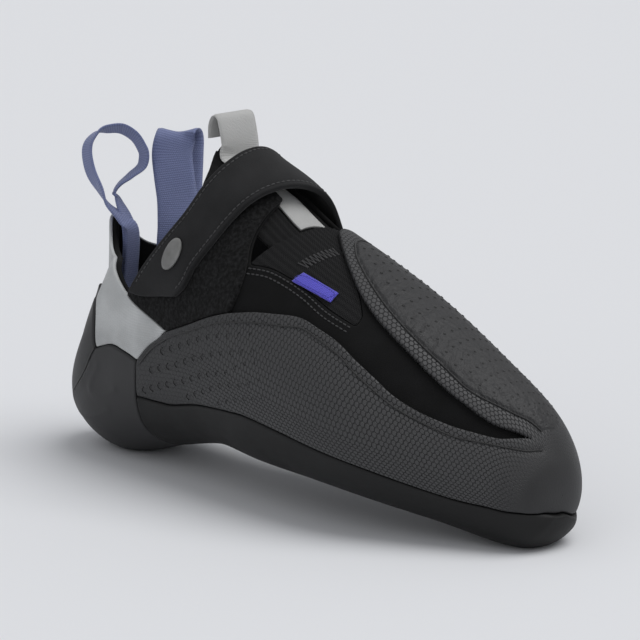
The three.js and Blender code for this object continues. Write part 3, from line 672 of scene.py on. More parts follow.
def rough_area(s, a, points, depth):
    return smoothstep(toe_patch.depth(s, a, points), 0.2, 1.2)


rand = shell("rand_rubber", OVER_UPPER, OVER_RAND, keep=regions["rand"], edge=0.7, span=(0, 8.4),
             step=(0.05, 1.7), relief=rand_relief, marks={"hex_area": hex_area, "rough_area": rough_area})
u_line_outer = curve([
    (9.57, 66), (9.75, 52), (9.93, 37), (9.84, 32), (9.7, 34), (9.45, 40), (9.17, 46), (8.87, 52),
])
u_line_inner = curve([(9.34, 69), (9.44, 61), (9.42, 56), (9.3, 56), (9.05, 59), (8.87, 61), (8.75, 63)])
sling_line = curve([(9.57, 74.5), (9.62, 70), (9.68, 62), (9.8, 52), (9.95, 40)])
u_fields = [profile(u_line_outer, 1.3, 0.3), profile(u_line_inner, 1.3, 0.3), profile(sling_line, 0.8, -0.3)]


def cup_relief(s, a, points, depth):
    return sum(field(points) for field in u_fields)


heel_cup = shell("heel_cup_rubber", OVER_UPPER, sole_face, keep=regions["heel_cup"], edge=0.7,
                 span=(7.8, 12.6), step=(0.045, 1.6), floor=True, relief=cup_relief)
print("rand faces:", len(rand.data.polygons))

# %% [markdown]
# The heel panel is a pale coated textile that shows between the rubber and the collar. The
# patch of loop pile in front of it is what the strap's hooks hold on to.

# %% Heel panel and pile patch
heel_panel = shell("heel_panel_textile", OVER_UPPER, OVER_PANEL, keep=regions["heel_panel"], edge=0.5,
                   span=(7.4, 14), step=(0.06, 2.0))
pile_patch = shell("pile_patch_loop", OVER_UPPER, OVER_PILE, keep=regions["pile_patch"], edge=0.6,
                   span=(6.1, 9.5), angles=(90, 178), step=(0.04, 1.2))

# %% [markdown]
# The strap is one band of nubuck. It lies on the pile, stands clear of the tongue in a round
# arch and comes down to the inner side, where it is sewn on.

# %% Strap, side tag and badge
def strap_outer(s, a, points, depth):
    return strap_face(s, a) + STRAP


strap = shell("strap_nubuck", lambda s, a, p, d: strap_face(s, a), strap_outer, keep=regions["strap"],
              edge=0.7, span=(6.2, 9.3), angles=(98, 256), step=(0.04, 1.2),
              relief=lambda s, a, p, d: -0.25 * np.exp(-((d - 2.0) / 0.8) ** 2))


def plate_shell(name, corners, low, high, edge, steps=(24, 12)):
    """A small sewn plate between four corner places on the last."""
    p, q, r, t = (np.array(c, float) for c in corners)
    u, v = np.meshgrid(np.linspace(0, 1, steps[0]), np.linspace(0, 1, steps[1]), indexing="ij")
    u, v = u.ravel()[:, None], v.ravel()[:, None]
    places = (1 - v) * ((1 - u) * p + u * q) + v * ((1 - u) * t + u * r)
    net = Net(np.arange(steps[0]), np.arange(steps[1]))
    net.s, net.a = places[:, 0], places[:, 1]
    points, normals = last_point(net.s, net.a), last_normal(net.s, net.a)
    along, across = np.minimum(u, 1 - u)[:, 0] * steps[0], np.minimum(v, 1 - v)[:, 0] * steps[1]
    rounding = edge * np.exp(-np.minimum(along, across) * 1.6)
    outer = points + normals * (high - rounding)[:, None]
    inner = points + normals * low
    return closed_shell(name, net, outer, inner)


side_tag = plate_shell("side_tag_woven", [(4.66, 143.5), (5.4, 141), (5.3, 148), (4.64, 150)],
                       OVER_UPPER, OVER_UPPER + TAG, 0.3)
BADGE_FACE = OVER_PILE + CLEARANCE + STRAP + CLEARANCE


def round_badge(name, centre, half, low, high, rings=6, points_round=40):
    """A plain domed disc on the strap."""
    radius = np.linspace(0, 1, rings)
    turn = np.linspace(0, 2 * math.pi, points_round + 1)
    net = Net(radius, turn)
    s = centre[0] + half[0] * net.s * np.sin(net.a)
    a = centre[1] + half[1] * net.s * np.cos(net.a)
    share = net.s.copy()
    net.s, net.a = s, a
    net.faces = net.faces[:, ::-1]
    points, normals = last_point(s, a), last_normal(s, a)
    height = low + (high - low) * np.sqrt(np.clip(1 - 0.55 * share ** 4, 0, 1))
    return closed_shell(name, net, points + normals * height[:, None], points + normals * low)


badge = round_badge("strap_badge", (8.1, 121), (0.22, 6), BADGE_FACE, BADGE_FACE + BADGE)

# %% [markdown]
# Webbing is a flat tape that twists as it goes. Its centre runs on a smooth curve through
# listed points, and each point says which way the width lies, so the loop can fold
# over at the top as the real one does.

# %% Webbing loops
def smooth_path(points, steps):
    """Points on a smooth curve through the given ones."""
    p = np.array(points, float)
    p = np.vstack([2 * p[0] - p[1], p, 2 * p[-1] - p[-2]])
    out = []
    for i in range(1, len(p) - 2):
        for k in range(steps):
            t = k / steps
            bend = (2 * p[i - 1] - 5 * p[i] + 4 * p[i + 1] - p[i + 2]) * t ** 2
            turn = (3 * p[i] - p[i - 1] - 3 * p[i + 1] + p[i + 2]) * t ** 3
            out.append(0.5 * (2 * p[i] + (p[i + 1] - p[i - 1]) * t + bend + turn))
    return np.array(out + [p[-2]])


def webbing(name, path, width, thickness, steps=10):
    """A tape with rounded edges along a path of (centre, side) pairs."""
    centre = smooth_path([p for p, _ in path], steps)
    side = smooth_path([s for _, s in path], steps)
    along = np.gradient(centre, axis=0)
    along /= np.linalg.norm(along, axis=-1, keepdims=True)
    side -= along * (side * along).sum(-1, keepdims=True)
    side /= np.linalg.norm(side, axis=-1, keepdims=True)
    face = np.cross(along, side)
    half, thick = width / 2, thickness / 2
    across = np.append(np.linspace(-1, 1, 13), np.linspace(1, -1, 13))
    up = np.append(np.ones(13), -np.ones(13))
    soft = thick * np.sqrt(np.clip(1 - np.clip((np.abs(across) * half - (half - thick)) / thick, 0, 1) ** 2, 0.02, 1))
    rings = centre[:, None] + side[:, None] * (across * half)[None, :, None] + face[:, None] * (up * soft)[None, :, None]
    count, around = rings.shape[:2]
    length = np.append(0, np.cumsum(np.linalg.norm(np.diff(centre, axis=0), axis=-1)))
    polygons, uv = [], []
    for i in range(count - 1):
        for j in range(around):
            k = (j + 1) % around
            polygons.append([i * around + j, i * around + k, (i + 1) * around + k, (i + 1) * around + j])
            uv += [(length[i] * MM, across[j] * half * MM), (length[i] * MM, across[k] * half * MM),
                   (length[i + 1] * MM, across[k] * half * MM), (length[i + 1] * MM, across[j] * half * MM)]
    polygons.append(list(range(around))[::-1])
    polygons.append([(count - 1) * around + j for j in range(around)])
    uv += [(0, 0)] * (2 * around)
    item = mesh_object(name, rings.reshape(-1, 3) * MM, polygons, uv)
    return outward(item)


def outward(item):
    """Turns every face of a closed mesh to point out."""
    work = bmesh.new()
    work.from_mesh(item.data)
    bmesh.ops.recalc_face_normals(work, faces=work.faces)
    work.to_mesh(item.data)
    work.free()
    return item


def seat_inside(station, angle, rise, width, layer):
    """Where webbing of this width fits the hollow wall inside the collar."""
    spread = 0
    while True:
        spread += 1
        low = last_point(station - rise * spread, angle - spread)
        high = last_point(station + rise * spread, angle + spread)
        if np.linalg.norm(high - low) >= width + 6 * CLEARANCE:
            break
    side = (high - low) / np.linalg.norm(high - low)
    inward = -last_normal(station, angle)
    inward -= side * (inward @ side)
    inward /= np.linalg.norm(inward)
    depth = 3 * CLEARANCE + WEBBING / 2 + layer * (WEBBING + CLEARANCE)
    return (low + high) / 2 + inward * depth, side


def measured_from(anchor, side, offsets):
    out = []
    for row in offsets:
        turn = np.array(row[3:] or (0, 0, 0), float)
        out.append((anchor + np.array(row[:3], float), np.array(side, float) + turn))
    return out


HEEL_LOOP_WIDTH, INNER_LOOP_WIDTH, TONGUE_LOOP_WIDTH = 7.5, 16.0, 19.0


def heel_seat(station, layer):
    return seat_inside(station, 0, 0, HEEL_LOOP_WIDTH, layer)


def inner_seat(station, layer):
    return seat_inside(station, 292, 1 / 30, INNER_LOOP_WIDTH, layer)


heel_loop_path = [
    heel_seat(12, 0), heel_seat(13.2, 0),
    *measured_from(last_point(13.75, 0), (0.7, -0.68, 0.22), [
        (-1.6, 0.6, 4.8, -0.3, 0, 0), (-3, -0.3, 7.4, 0, 0.1, 0), (-2.2, 1.6, 10.8, 0.1, 0.25, 0),
        (0.9, 4.7, 14.4, 0.3, 0.45, 0), (4.1, 7.7, 18.2, 0.35, 0.5, 0), (4.9, 8.5, 22.6, 0.3, 0.5, 0.1),
        (3.5, 8.2, 26, 0.25, 0.45, 0.25), (1, 6.8, 29.9, 0.2, 0.4, 0.4), (-2.8, 3.9, 32.6, 0.2, 0.4, 0.45),
        (-6.3, 0.2, 32.6, 0.2, 0.4, 0.4), (-9.1, -3.1, 31.4, 0.25, 0.45, 0.2), (-11, -6.2, 27.6, 0.3, 0.5, 0.1),
        (-10.7, -7.6, 23, 0.35, 0.5, 0), (-7.8, -8.2, 16.3, 0.35, 0.5, 0), (-2.9, -8, 10.3, 0.2, 0.3, 0),
        (0, -6.5, 4.1, -0.2, 0, 0),
        (4.3, -2.5, -1.7, -0.5, -0.2, -0.2),
    ]),
    heel_seat(13.2, 1), heel_seat(12, 1),
]
heel_loop = webbing("heel_loop_webbing", heel_loop_path, HEEL_LOOP_WIDTH, WEBBING, steps=8)

inner_loop_path = [
    inner_seat(11.3, 1), inner_seat(11.8, 1),
    *measured_from(last_point(11.8, 292), (-0.695, -0.719, 0), [
        (2.4, -0.9, 11.2, -0.1, 0.1, 0), (-0.3, 1.5, 20.8), (-3.1, 2.5, 29.8), (-5.6, 3.7, 38.5), (-6, 5.8, 44.2),
        (-6.7, 8.2, 46), (-7, 11, 43.8), (-6.1, 10.1, 37.5), (-4.4, 8, 29), (-1.6, 4.7, 20.2),
        (1.4, 0.7, 10.7, -0.1, 0.1, 0),
    ]),
    inner_seat(11.8, 0), inner_seat(11.3, 0),
]
inner_loop = webbing("inner_loop_webbing", inner_loop_path, INNER_LOOP_WIDTH, WEBBING, steps=10)


def tongue_seat(station):
    place = last_point(station, TAPE_MIDDLE) + last_normal(station, TAPE_MIDDLE) * (UNDER_LAST - TAPE / 2)
    return place, np.array((0.0, 1.0, 0.0))


tongue_loop_path = [
    tongue_seat(TAPE_END + 0.08), tongue_seat(TAPE_END + 0.35),
    *measured_from(last_point(TAPE_END + 0.35, TAPE_MIDDLE), (0, 1, 0), [
        (-1.2, 1, 3.6), (-2.6, 1, 10.3), (-4.1, 1, 14.2), (-6.6, 1, 14.7), (-8.6, 1, 11.2), (-8.8, 1, 6),
    ]),
]
tongue_loop = webbing("tongue_loop_tape", tongue_loop_path, TONGUE_LOOP_WIDTH, TAPE, steps=12)
print("loops made:", [len(o.data.polygons) for o in (heel_loop, inner_loop, tongue_loop)])

# %% [markdown]
# Stitches repeat along a path, so Geometry Nodes lay them: the tree spaces points along the
# seam, turns one small thread to follow it and realizes the copies. Each seam gives its own
# pitch and thread size.

# %% Stitches with Geometry Nodes
THREAD_SIDES = 6


def socket_id(tree, name):
    return next(i.identifier for i in tree.interface.items_tree if i.item_type == "SOCKET" and i.name == name)


def stitch_tree():
    """Input: lines of stitch places, given as mesh edges."""
    tree = bpy.data.node_groups.new("stitch row", "GeometryNodeTree")
    face = tree.interface
    face.new_socket("Geometry", in_out="INPUT", socket_type="NodeSocketGeometry")
    face.new_socket("Pitch", in_out="INPUT", socket_type="NodeSocketFloat")
    face.new_socket("Thread radius", in_out="INPUT", socket_type="NodeSocketFloat")
    face.new_socket("Fill", in_out="INPUT", socket_type="NodeSocketFloat")
    face.new_socket("Material", in_out="INPUT", socket_type="NodeSocketMaterial")
    face.new_socket("Geometry", in_out="OUTPUT", socket_type="NodeSocketGeometry")
    n, link = tree.nodes, tree.links.new
    source, result = n.new("NodeGroupInput"), n.new("NodeGroupOutput")
    to_curve = n.new("GeometryNodeMeshToCurve")
    resample = n.new("GeometryNodeResampleCurve")
    resample.mode = "LENGTH"
    to_points = n.new("GeometryNodeCurveToPoints")
    to_points.mode = "EVALUATED"
    tangent = n.new("GeometryNodeInputTangent")
    store = n.new("GeometryNodeStoreNamedAttribute")
    store.data_type, store.domain = "FLOAT_VECTOR", "POINT"
    store.inputs["Name"].default_value = "along"
    read = n.new("GeometryNodeInputNamedAttribute")
    read.data_type = "FLOAT_VECTOR"
    read.inputs["Name"].default_value = "along"
    align = n.new("FunctionNodeAlignRotationToVector")
    align.axis = "Z"
    thread = n.new("GeometryNodeMeshIcoSphere")
    thread.inputs["Subdivisions"].default_value = 2
    thread.inputs["Radius"].default_value = 1.0
    stretch = n.new("GeometryNodeTransform")
    size = n.new("ShaderNodeCombineXYZ")
    half = n.new("ShaderNodeMath")
    half.operation = "MULTIPLY"
    quarter = n.new("ShaderNodeMath")
    quarter.operation = "MULTIPLY"
    quarter.inputs[1].default_value = 0.5
    place = n.new("GeometryNodeInstanceOnPoints")
    realize = n.new("GeometryNodeRealizeInstances")
    finish = n.new("GeometryNodeSetMaterial")
    link(source.outputs["Geometry"], to_curve.inputs["Mesh"])
    link(to_curve.outputs["Curve"], resample.inputs["Curve"])
    link(source.outputs["Pitch"], resample.inputs["Length"])
    link(resample.outputs["Curve"], store.inputs["Geometry"])
    link(tangent.outputs["Tangent"], store.inputs["Value"])
    link(store.outputs["Geometry"], to_points.inputs["Curve"])
    link(to_points.outputs["Points"], place.inputs["Points"])
    link(source.outputs["Pitch"], half.inputs[0])
    link(source.outputs["Fill"], half.inputs[1])
    link(half.outputs[0], quarter.inputs[0])
    link(source.outputs["Thread radius"], size.inputs["X"])
    link(source.outputs["Thread radius"], size.inputs["Y"])
    link(quarter.outputs[0], size.inputs["Z"])
    link(thread.outputs["Mesh"], stretch.inputs["Geometry"])
    link(size.outputs["Vector"], stretch.inputs["Scale"])
    link(stretch.outputs["Geometry"], place.inputs["Instance"])
    link(read.outputs["Attribute"], align.inputs["Vector"])
    link(align.outputs["Rotation"], place.inputs["Rotation"])
    link(place.outputs["Instances"], realize.inputs["Geometry"])
    link(realize.outputs["Geometry"], finish.inputs["Geometry"])
    link(source.outputs["Material"], finish.inputs["Material"])
    link(finish.outputs["Geometry"], result.inputs["Geometry"])
    return tree


STITCH_TREE = stitch_tree()


def made_by_nodes(name, source, tree, values):
    """Runs a tree on an object and keeps the result as a plain mesh."""
    modifier = source.modifiers.new("nodes", "NODES")
    modifier.node_group = tree
    for key, value in values.items():
        modifier[socket_id(tree, key)] = value
    graph = bpy.context.evaluated_depsgraph_get()
    mesh = bpy.data.meshes.new_from_object(source.evaluated_get(graph))
    source.modifiers.remove(modifier)
    item = bpy.data.objects.new(name, mesh)
    bpy.context.scene.collection.objects.link(item)
    bpy.data.objects.remove(source)
    mesh.shade_smooth()
    return item


def line_object(runs):
    points, edges = [], []
    for run in runs:
        first = len(points)
        points += [tuple(p) for p in run]
        edges += [(first + k, first + k + 1) for k in range(len(run) - 1)]
    mesh = bpy.data.meshes.new("seam lines")
    mesh.from_pydata(points, edges, [])
    item = bpy.data.objects.new("seam lines", mesh)
    bpy.context.scene.collection.objects.link(item)
    return item


def seam(stretch, level):
    """A line of stitch places on the last at a height over it."""
    stretch = np.asarray(stretch, float)
    height = level(stretch[:, 0], stretch[:, 1]) if callable(level) else level
    height = np.broadcast_to(height, len(stretch))
    return (last_point(stretch[:, 0], stretch[:, 1]) + last_normal(stretch[:, 0], stretch[:, 1]) * height[:, None]) * MM


def inset(stretch, distance):
    """The same line moved sideways on the last, positive to the left of its run."""
    points = last_point(stretch[:, 0], stretch[:, 1])
    normals = last_normal(stretch[:, 0], stretch[:, 1])
    along = np.gradient(points, axis=0)
    along /= np.maximum(np.linalg.norm(along, axis=-1, keepdims=True), 1e-9)
    aside = np.cross(normals, along)
    ds, da = 0.02, 0.5
    to_s = (last_point(stretch[:, 0] + ds, stretch[:, 1]) - points) / ds
    to_a = (last_point(stretch[:, 0], stretch[:, 1] + da) - points) / da
    target = aside * distance
    ss, sa, aa = (to_s * to_s).sum(-1), (to_s * to_a).sum(-1), (to_a * to_a).sum(-1)
    ts, ta = (to_s * target).sum(-1), (to_a * target).sum(-1)
    det = ss * aa - sa * sa
    return np.stack([stretch[:, 0] + (ts * aa - ta * sa) / det, stretch[:, 1] + (ta * ss - ts * sa) / det], -1)

# %% [markdown]
# Effects that several materials share are shader groups. The grain group gives a fine bump and
# a mottled value, the weave group crosses two sets of threads on the surface map, and the hex
# group draws the moulded net of small hexagons on the rubber.

# %% Shared shader groups
def new_group(name, inputs, outputs):
    tree = bpy.data.node_groups.new(name, "ShaderNodeTree")
    for label, kind, value in inputs:
        socket = tree.interface.new_socket(label, in_out="INPUT", socket_type=kind)
        if value is not None:
            socket.default_value = value
    for label, kind in outputs:
        tree.interface.new_socket(label, in_out="OUTPUT", socket_type=kind)
    return tree, tree.nodes.new("NodeGroupInput"), tree.nodes.new("NodeGroupOutput")


def maths(tree, operation, a, b=None, c=None):
    """One math node; a, b and c are sockets or numbers."""
    node = tree.nodes.new("ShaderNodeMath")
    node.operation = operation
    for slot, value in enumerate((a, b, c)):
        if value is None:
            continue
        if isinstance(value, (int, float)):
            node.inputs[slot].default_value = value
        else:
            tree.links.new(value, node.inputs[slot])
    return node.outputs[0]


FLOAT, VECTOR, COLOR = "NodeSocketFloat", "NodeSocketVector", "NodeSocketColor"


def grain_group():
    tree, source, result = new_group(
        "fine grain", [("Scale", FLOAT, 900.0), ("Spread scale", FLOAT, 40.0)],
        [("Height", FLOAT), ("Mottle", FLOAT)],
    )
    place = tree.nodes.new("ShaderNodeTexCoord").outputs["Object"]
    fine = tree.nodes.new("ShaderNodeTexNoise")
    fine.inputs["Detail"].default_value = 4.0
    wide = tree.nodes.new("ShaderNodeTexNoise")
    wide.inputs["Detail"].default_value = 5.0
    for noise, name in ((fine, "Scale"), (wide, "Spread scale")):
        tree.links.new(place, noise.inputs["Vector"])
        tree.links.new(source.outputs[name], noise.inputs["Scale"])
    tree.links.new(fine.outputs["Fac"], result.inputs["Height"])
    tree.links.new(wide.outputs["Fac"], result.inputs["Mottle"])
    return tree


def weave_group():
    tree, source, result = new_group(
        "woven threads", [("Along pitch", FLOAT, 0.0008), ("Across pitch", FLOAT, 0.0006)], [("Height", FLOAT)],
    )
    uv = tree.nodes.new("ShaderNodeUVMap")
    uv.uv_map = "surface"
    parts = tree.nodes.new("ShaderNodeSeparateXYZ")
    tree.links.new(uv.outputs["UV"], parts.inputs[0])
    turns = []
    for axis, name in (("X", "Along pitch"), ("Y", "Across pitch")):
        share = maths(tree, "DIVIDE", parts.outputs[axis], source.outputs[name])
        turns.append(maths(tree, "MULTIPLY", share, math.pi))
    u, v = turns
    warp = maths(tree, "ABSOLUTE", maths(tree, "SINE", u))
    weft = maths(tree, "ABSOLUTE", maths(tree, "SINE", v))
    swap = maths(tree, "MULTIPLY", maths(tree, "SINE", u), maths(tree, "SINE", v))
    over = maths(tree, "GREATER_THAN", swap, 0.0)
    kept = maths(tree, "MULTIPLY", warp, over)
    other = maths(tree, "MULTIPLY", weft, maths(tree, "SUBTRACT", 1.0, over))
    tree.links.new(maths(tree, "ADD", kept, other), result.inputs["Height"])
    return tree


def hex_group():
    """1 on the face of each hexagon and 0 in the lines between them."""
    tree, source, result = new_group("hexagon net", [("Pitch", FLOAT, 0.0018)], [("Height", FLOAT)])
    uv = tree.nodes.new("ShaderNodeUVMap")
    uv.uv_map = "surface"
    parts = tree.nodes.new("ShaderNodeSeparateXYZ")
    tree.links.new(uv.outputs["UV"], parts.inputs[0])
    x = maths(tree, "DIVIDE", parts.outputs["X"], source.outputs["Pitch"])
    y = maths(tree, "DIVIDE", parts.outputs["Y"], source.outputs["Pitch"])
    tall = math.sqrt(3)
    reaches = []
    for shift_x, shift_y in ((0.0, 0.0), (0.5, tall / 2)):
        gx = maths(tree, "SUBTRACT", maths(tree, "FLOORED_MODULO", maths(tree, "ADD", x, shift_x), 1.0), 0.5)
        gy = maths(tree, "SUBTRACT", maths(tree, "FLOORED_MODULO", maths(tree, "ADD", y, shift_y), tall), tall / 2)
        ax, ay = maths(tree, "ABSOLUTE", gx), maths(tree, "ABSOLUTE", gy)
        slant = maths(tree, "ADD", maths(tree, "MULTIPLY", ax, 0.5), maths(tree, "MULTIPLY", ay, tall / 2))
        reaches.append(maths(tree, "MAXIMUM", ax, slant))
    edge = maths(tree, "MINIMUM", *reaches)
    ramp = tree.nodes.new("ShaderNodeMapRange")
    ramp.interpolation_type = "SMOOTHSTEP"
    ramp.inputs["From Min"].default_value = 0.5
    ramp.inputs["From Max"].default_value = 0.36
    tree.links.new(edge, ramp.inputs["Value"])
    tree.links.new(ramp.outputs["Result"], result.inputs["Height"])
    return tree


GRAIN, WEAVE, HEXES = grain_group(), weave_group(), hex_group()
print("shader groups:", GRAIN.name, WEAVE.name, HEXES.name)

# %% [markdown]
# Each finish is one Principled shader fed by those groups. Base colours are read from the
# photograph: the rubber is a dark grey, the microfibre almost black, the panel pale.

# %% Materials
def linear(value):
    return value / 12.92 if value <= 0.04045 else ((value + 0.055) / 1.055) ** 2.4


def rgb(red, green, blue):
    return (linear(red / 255), linear(green / 255), linear(blue / 255), 1.0)


class Finish:
    """A material under construction: a Principled shader with helpers for its inputs."""

    def __init__(self, name, color, roughness, sheen=0.0):
        self.material = bpy.data.materials.new(name)
        self.material.use_nodes = True
        self.tree = self.material.node_tree
        self.shader = self.tree.nodes["Principled BSDF"]
        self.shader.inputs["Base Color"].default_value = color
        self.shader.inputs["Roughness"].default_value = roughness
        self.shader.inputs["Sheen Weight"].default_value = sheen
        self.shader.inputs["Sheen Roughness"].default_value = 0.5
        self.normal = None

    def group(self, tree, **values):
        node = self.tree.nodes.new("ShaderNodeGroup")
        node.node_tree = tree
        for key, value in values.items():
            node.inputs[key.replace("_", " ")].default_value = value
        return node.outputs

    def bump(self, height, distance, strength=1.0):
        node = self.tree.nodes.new("ShaderNodeBump")
        node.inputs["Distance"].default_value = distance
        node.inputs["Strength"].default_value = strength
        self.tree.links.new(height, node.inputs["Height"])
        if self.normal:
            self.tree.links.new(self.normal, node.inputs["Normal"])
        self.normal = node.outputs["Normal"]
        self.tree.links.new(self.normal, self.shader.inputs["Normal"])

    def mix(self, factor, dark, light, low=0.0, high=1.0):
        ramp = self.tree.nodes.new("ShaderNodeMapRange")
        ramp.inputs["From Min"].default_value = low
        ramp.inputs["From Max"].default_value = high
        self.tree.links.new(factor, ramp.inputs["Value"])
        node = self.tree.nodes.new("ShaderNodeMix")
        node.data_type = "RGBA"
        for socket, value in ((node.inputs[6], dark), (node.inputs[7], light)):
            if isinstance(value, tuple):
                socket.default_value = value
            else:
                self.tree.links.new(value, socket)
        self.tree.links.new(ramp.outputs["Result"], node.inputs[0])
        return node.outputs[2]

    def paint(self, color):
        self.tree.links.new(color, self.shader.inputs["Base Color"])

    def gloss(self, factor, low, high, start=0.3, end=0.7):
        ramp = self.tree.nodes.new("ShaderNodeMapRange")
        ramp.inputs["From Min"].default_value = start
        ramp.inputs["From Max"].default_value = end
        ramp.inputs["To Min"].default_value = low
        ramp.inputs["To Max"].default_value = high
        self.tree.links.new(factor, ramp.inputs["Value"])
        self.tree.links.new(ramp.outputs["Result"], self.shader.inputs["Roughness"])


def mask_attribute(finish, name):
    node = finish.tree.nodes.new("ShaderNodeAttribute")
    node.attribute_name = name
    return node.outputs["Fac"]


def microfibre():
    f = Finish("black microfibre", rgb(10, 10, 10), 0.95, sheen=0.02)
    f.shader.inputs["Specular IOR Level"].default_value = 0.25
    grain = f.group(GRAIN, Scale=2600.0, Spread_scale=90.0)
    f.paint(f.mix(grain["Mottle"], rgb(7, 7, 7), rgb(15, 15, 16), 0.35, 0.7))
    f.bump(grain["Height"], 0.00025, 0.6)
    return f.material


def sole_rubber():
    f = Finish("sole rubber", rgb(22, 22, 22), 0.55)
    f.shader.inputs["Specular IOR Level"].default_value = 0.3
    grain = f.group(GRAIN, Scale=1500.0, Spread_scale=60.0)
    f.paint(f.mix(grain["Mottle"], rgb(18, 18, 18), rgb(28, 28, 28), 0.3, 0.75))
    f.gloss(grain["Mottle"], 0.5, 0.68)
    f.bump(grain["Height"], 0.0002, 0.5)
    return f.material


def rand_rubber():
    f = Finish("rand rubber", rgb(52, 52, 53), 0.55)
    f.shader.inputs["Specular IOR Level"].default_value = 0.4
    grain = f.group(GRAIN, Scale=1300.0, Spread_scale=45.0)
    cracks = f.group(GRAIN, Scale=620.0, Spread_scale=330.0)
    hexes = f.group(HEXES, Pitch=0.0019)
    base = f.mix(grain["Mottle"], rgb(38, 38, 39), rgb(50, 50, 51), 0.3, 0.75)
    # Painted light and shade: the raised faces of the hexagons are painted lighter than the lines between them, all in
    # the one rubber.
    net = maths(f.tree, "MULTIPLY", hexes["Height"], mask_attribute(f, "hex_area"))
    f.paint(f.mix(net, base, rgb(76, 76, 77), 0.0, 1.7))
    f.gloss(grain["Mottle"], 0.45, 0.62)
    f.bump(grain["Height"], 0.0002, 0.4)
    f.bump(net, 0.00045, 1.0)
    rough = maths(f.tree, "MULTIPLY", cracks["Mottle"], mask_attribute(f, "rough_area"))
    f.bump(rough, 0.0016, 0.8)
    return f.material


def panel_textile():
    f = Finish("pale coated textile", rgb(186, 188, 188), 0.62)
    grain = f.group(GRAIN, Scale=1200.0, Spread_scale=70.0)
    weave = f.group(WEAVE, Along_pitch=0.0006, Across_pitch=0.0006)
    f.paint(f.mix(grain["Mottle"], rgb(172, 174, 174), rgb(200, 202, 202), 0.3, 0.7))
    f.bump(weave["Height"], 0.00012, 0.6)
    return f.material


def loop_pile():
    f = Finish("black loop pile", rgb(12, 12, 12), 0.95, sheen=0.03)
    f.shader.inputs["Specular IOR Level"].default_value = 0.25
    grain = f.group(GRAIN, Scale=1500.0, Spread_scale=800.0)
    # The pile's tone varies at random, and because the same noise drives its bump, the hollows between the loops are
    # painted darker: painted shade.
    f.paint(f.mix(grain["Mottle"], rgb(4, 4, 4), rgb(34, 34, 35), 0.4, 0.72))
    f.bump(grain["Mottle"], 0.0008, 0.8)
    return f.material


def nubuck():
    f = Finish("dark nubuck", rgb(30, 30, 31), 0.9, sheen=0.05)
    f.shader.inputs["Specular IOR Level"].default_value = 0.3
    grain = f.group(GRAIN, Scale=2200.0, Spread_scale=75.0)
    f.paint(f.mix(grain["Mottle"], rgb(26, 26, 27), rgb(38, 38, 39), 0.3, 0.72))
    f.bump(grain["Height"], 0.00022, 0.6)
    return f.material


def rib_knit():
    f = Finish("black rib knit", rgb(14, 14, 15), 0.95, sheen=0.03)
    f.shader.inputs["Specular IOR Level"].default_value = 0.25
    weave = f.group(WEAVE, Along_pitch=0.0007, Across_pitch=0.0005)
    # Painted shade and light: the knit is painted darker between its ribs, where the weave's bump is low, and lighter
    # on their crowns.
    f.paint(f.mix(weave["Height"], rgb(4, 4, 4), rgb(36, 36, 37), 0.2, 1.1))
    f.bump(weave["Height"], 0.0003, 0.9)
    return f.material


def webbing_finish(name, dark, light, along, across):
    f = Finish(name, light, 0.7, sheen=0.2)
    grain = f.group(GRAIN, Scale=900.0, Spread_scale=120.0)
    weave = f.group(WEAVE, Along_pitch=along, Across_pitch=across)
    # Painted shade and light: each tape is painted darker between its threads, where the weave's bump is low, and
    # lighter on the threads.
    f.paint(f.mix(weave["Height"], dark, light, 0.0, 0.9))
    f.bump(weave["Height"], 0.00016, 0.8)
    f.gloss(grain["Mottle"], 0.6, 0.8)
    return f.material


def thread_finish(name, color):
    f = Finish(name, color, 0.6, sheen=0.2)
    grain = f.group(GRAIN, Scale=4000.0, Spread_scale=500.0)
    f.bump(grain["Height"], 0.0001, 0.6)
    return f.material


def badge_finish():
    f = Finish("grey badge", rgb(120, 120, 118), 0.42)
    grain = f.group(GRAIN, Scale=1500.0, Spread_scale=150.0)
    f.paint(f.mix(grain["Mottle"], rgb(100, 100, 98), rgb(136, 136, 134), 0.3, 0.7))
    f.bump(grain["Height"], 0.0001, 0.4)
    return f.material


finishes = {
    "microfibre": microfibre(),
    "sole": sole_rubber(),
    "rand": rand_rubber(),
    "panel": panel_textile(),
    "pile": loop_pile(),
    "strap": nubuck(),
    "knit": rib_knit(),
    "pale tape": webbing_finish("pale tape", rgb(168, 168, 166), rgb(204, 204, 202), 0.0005, 0.0004),
    "blue tape": webbing_finish("blue webbing", rgb(80, 88, 128), rgb(128, 138, 180), 0.0009, 0.0004),
    "label": webbing_finish("violet tab", rgb(52, 46, 150), rgb(92, 86, 214), 0.0008, 0.0006),
    "insole": webbing_finish("sock liner", rgb(30, 32, 38), rgb(52, 55, 62), 0.0012, 0.001),
    "black thread": thread_finish("black thread", rgb(48, 48, 49)),
    # Painted shade: a near-black finish for the beads, crescents and dots, standing in for the shade in the rubber's
    # grooves and moulded marks.
    "groove": thread_finish("groove shadow", rgb(10, 10, 10)),
    "grey thread": thread_finish("grey thread", rgb(150, 152, 150)),
    "blue thread": thread_finish("blue thread", rgb(92, 100, 140)),
    "badge": badge_finish(),
}
print("finishes:", len(finishes))

# %% [markdown]
# Seams on the real shoe are lock-stitched in double rows along the collar and the gusset, and in
# a single row just inside the edge of the strap. A row is a line of places on the last, moved
# sideways from the edge it follows.

# %% Stitch rows
def stitches(name, runs, thread, pitch=2.2, radius=0.28, fill=0.82):
    return made_by_nodes(name, line_object(runs), STITCH_TREE, {
        "Pitch": pitch * MM, "Thread radius": radius * MM, "Fill": fill, "Material": finishes[thread],
    })


def strap_top(s, a):
    return strap_face(s, a) + STRAP - 0.12


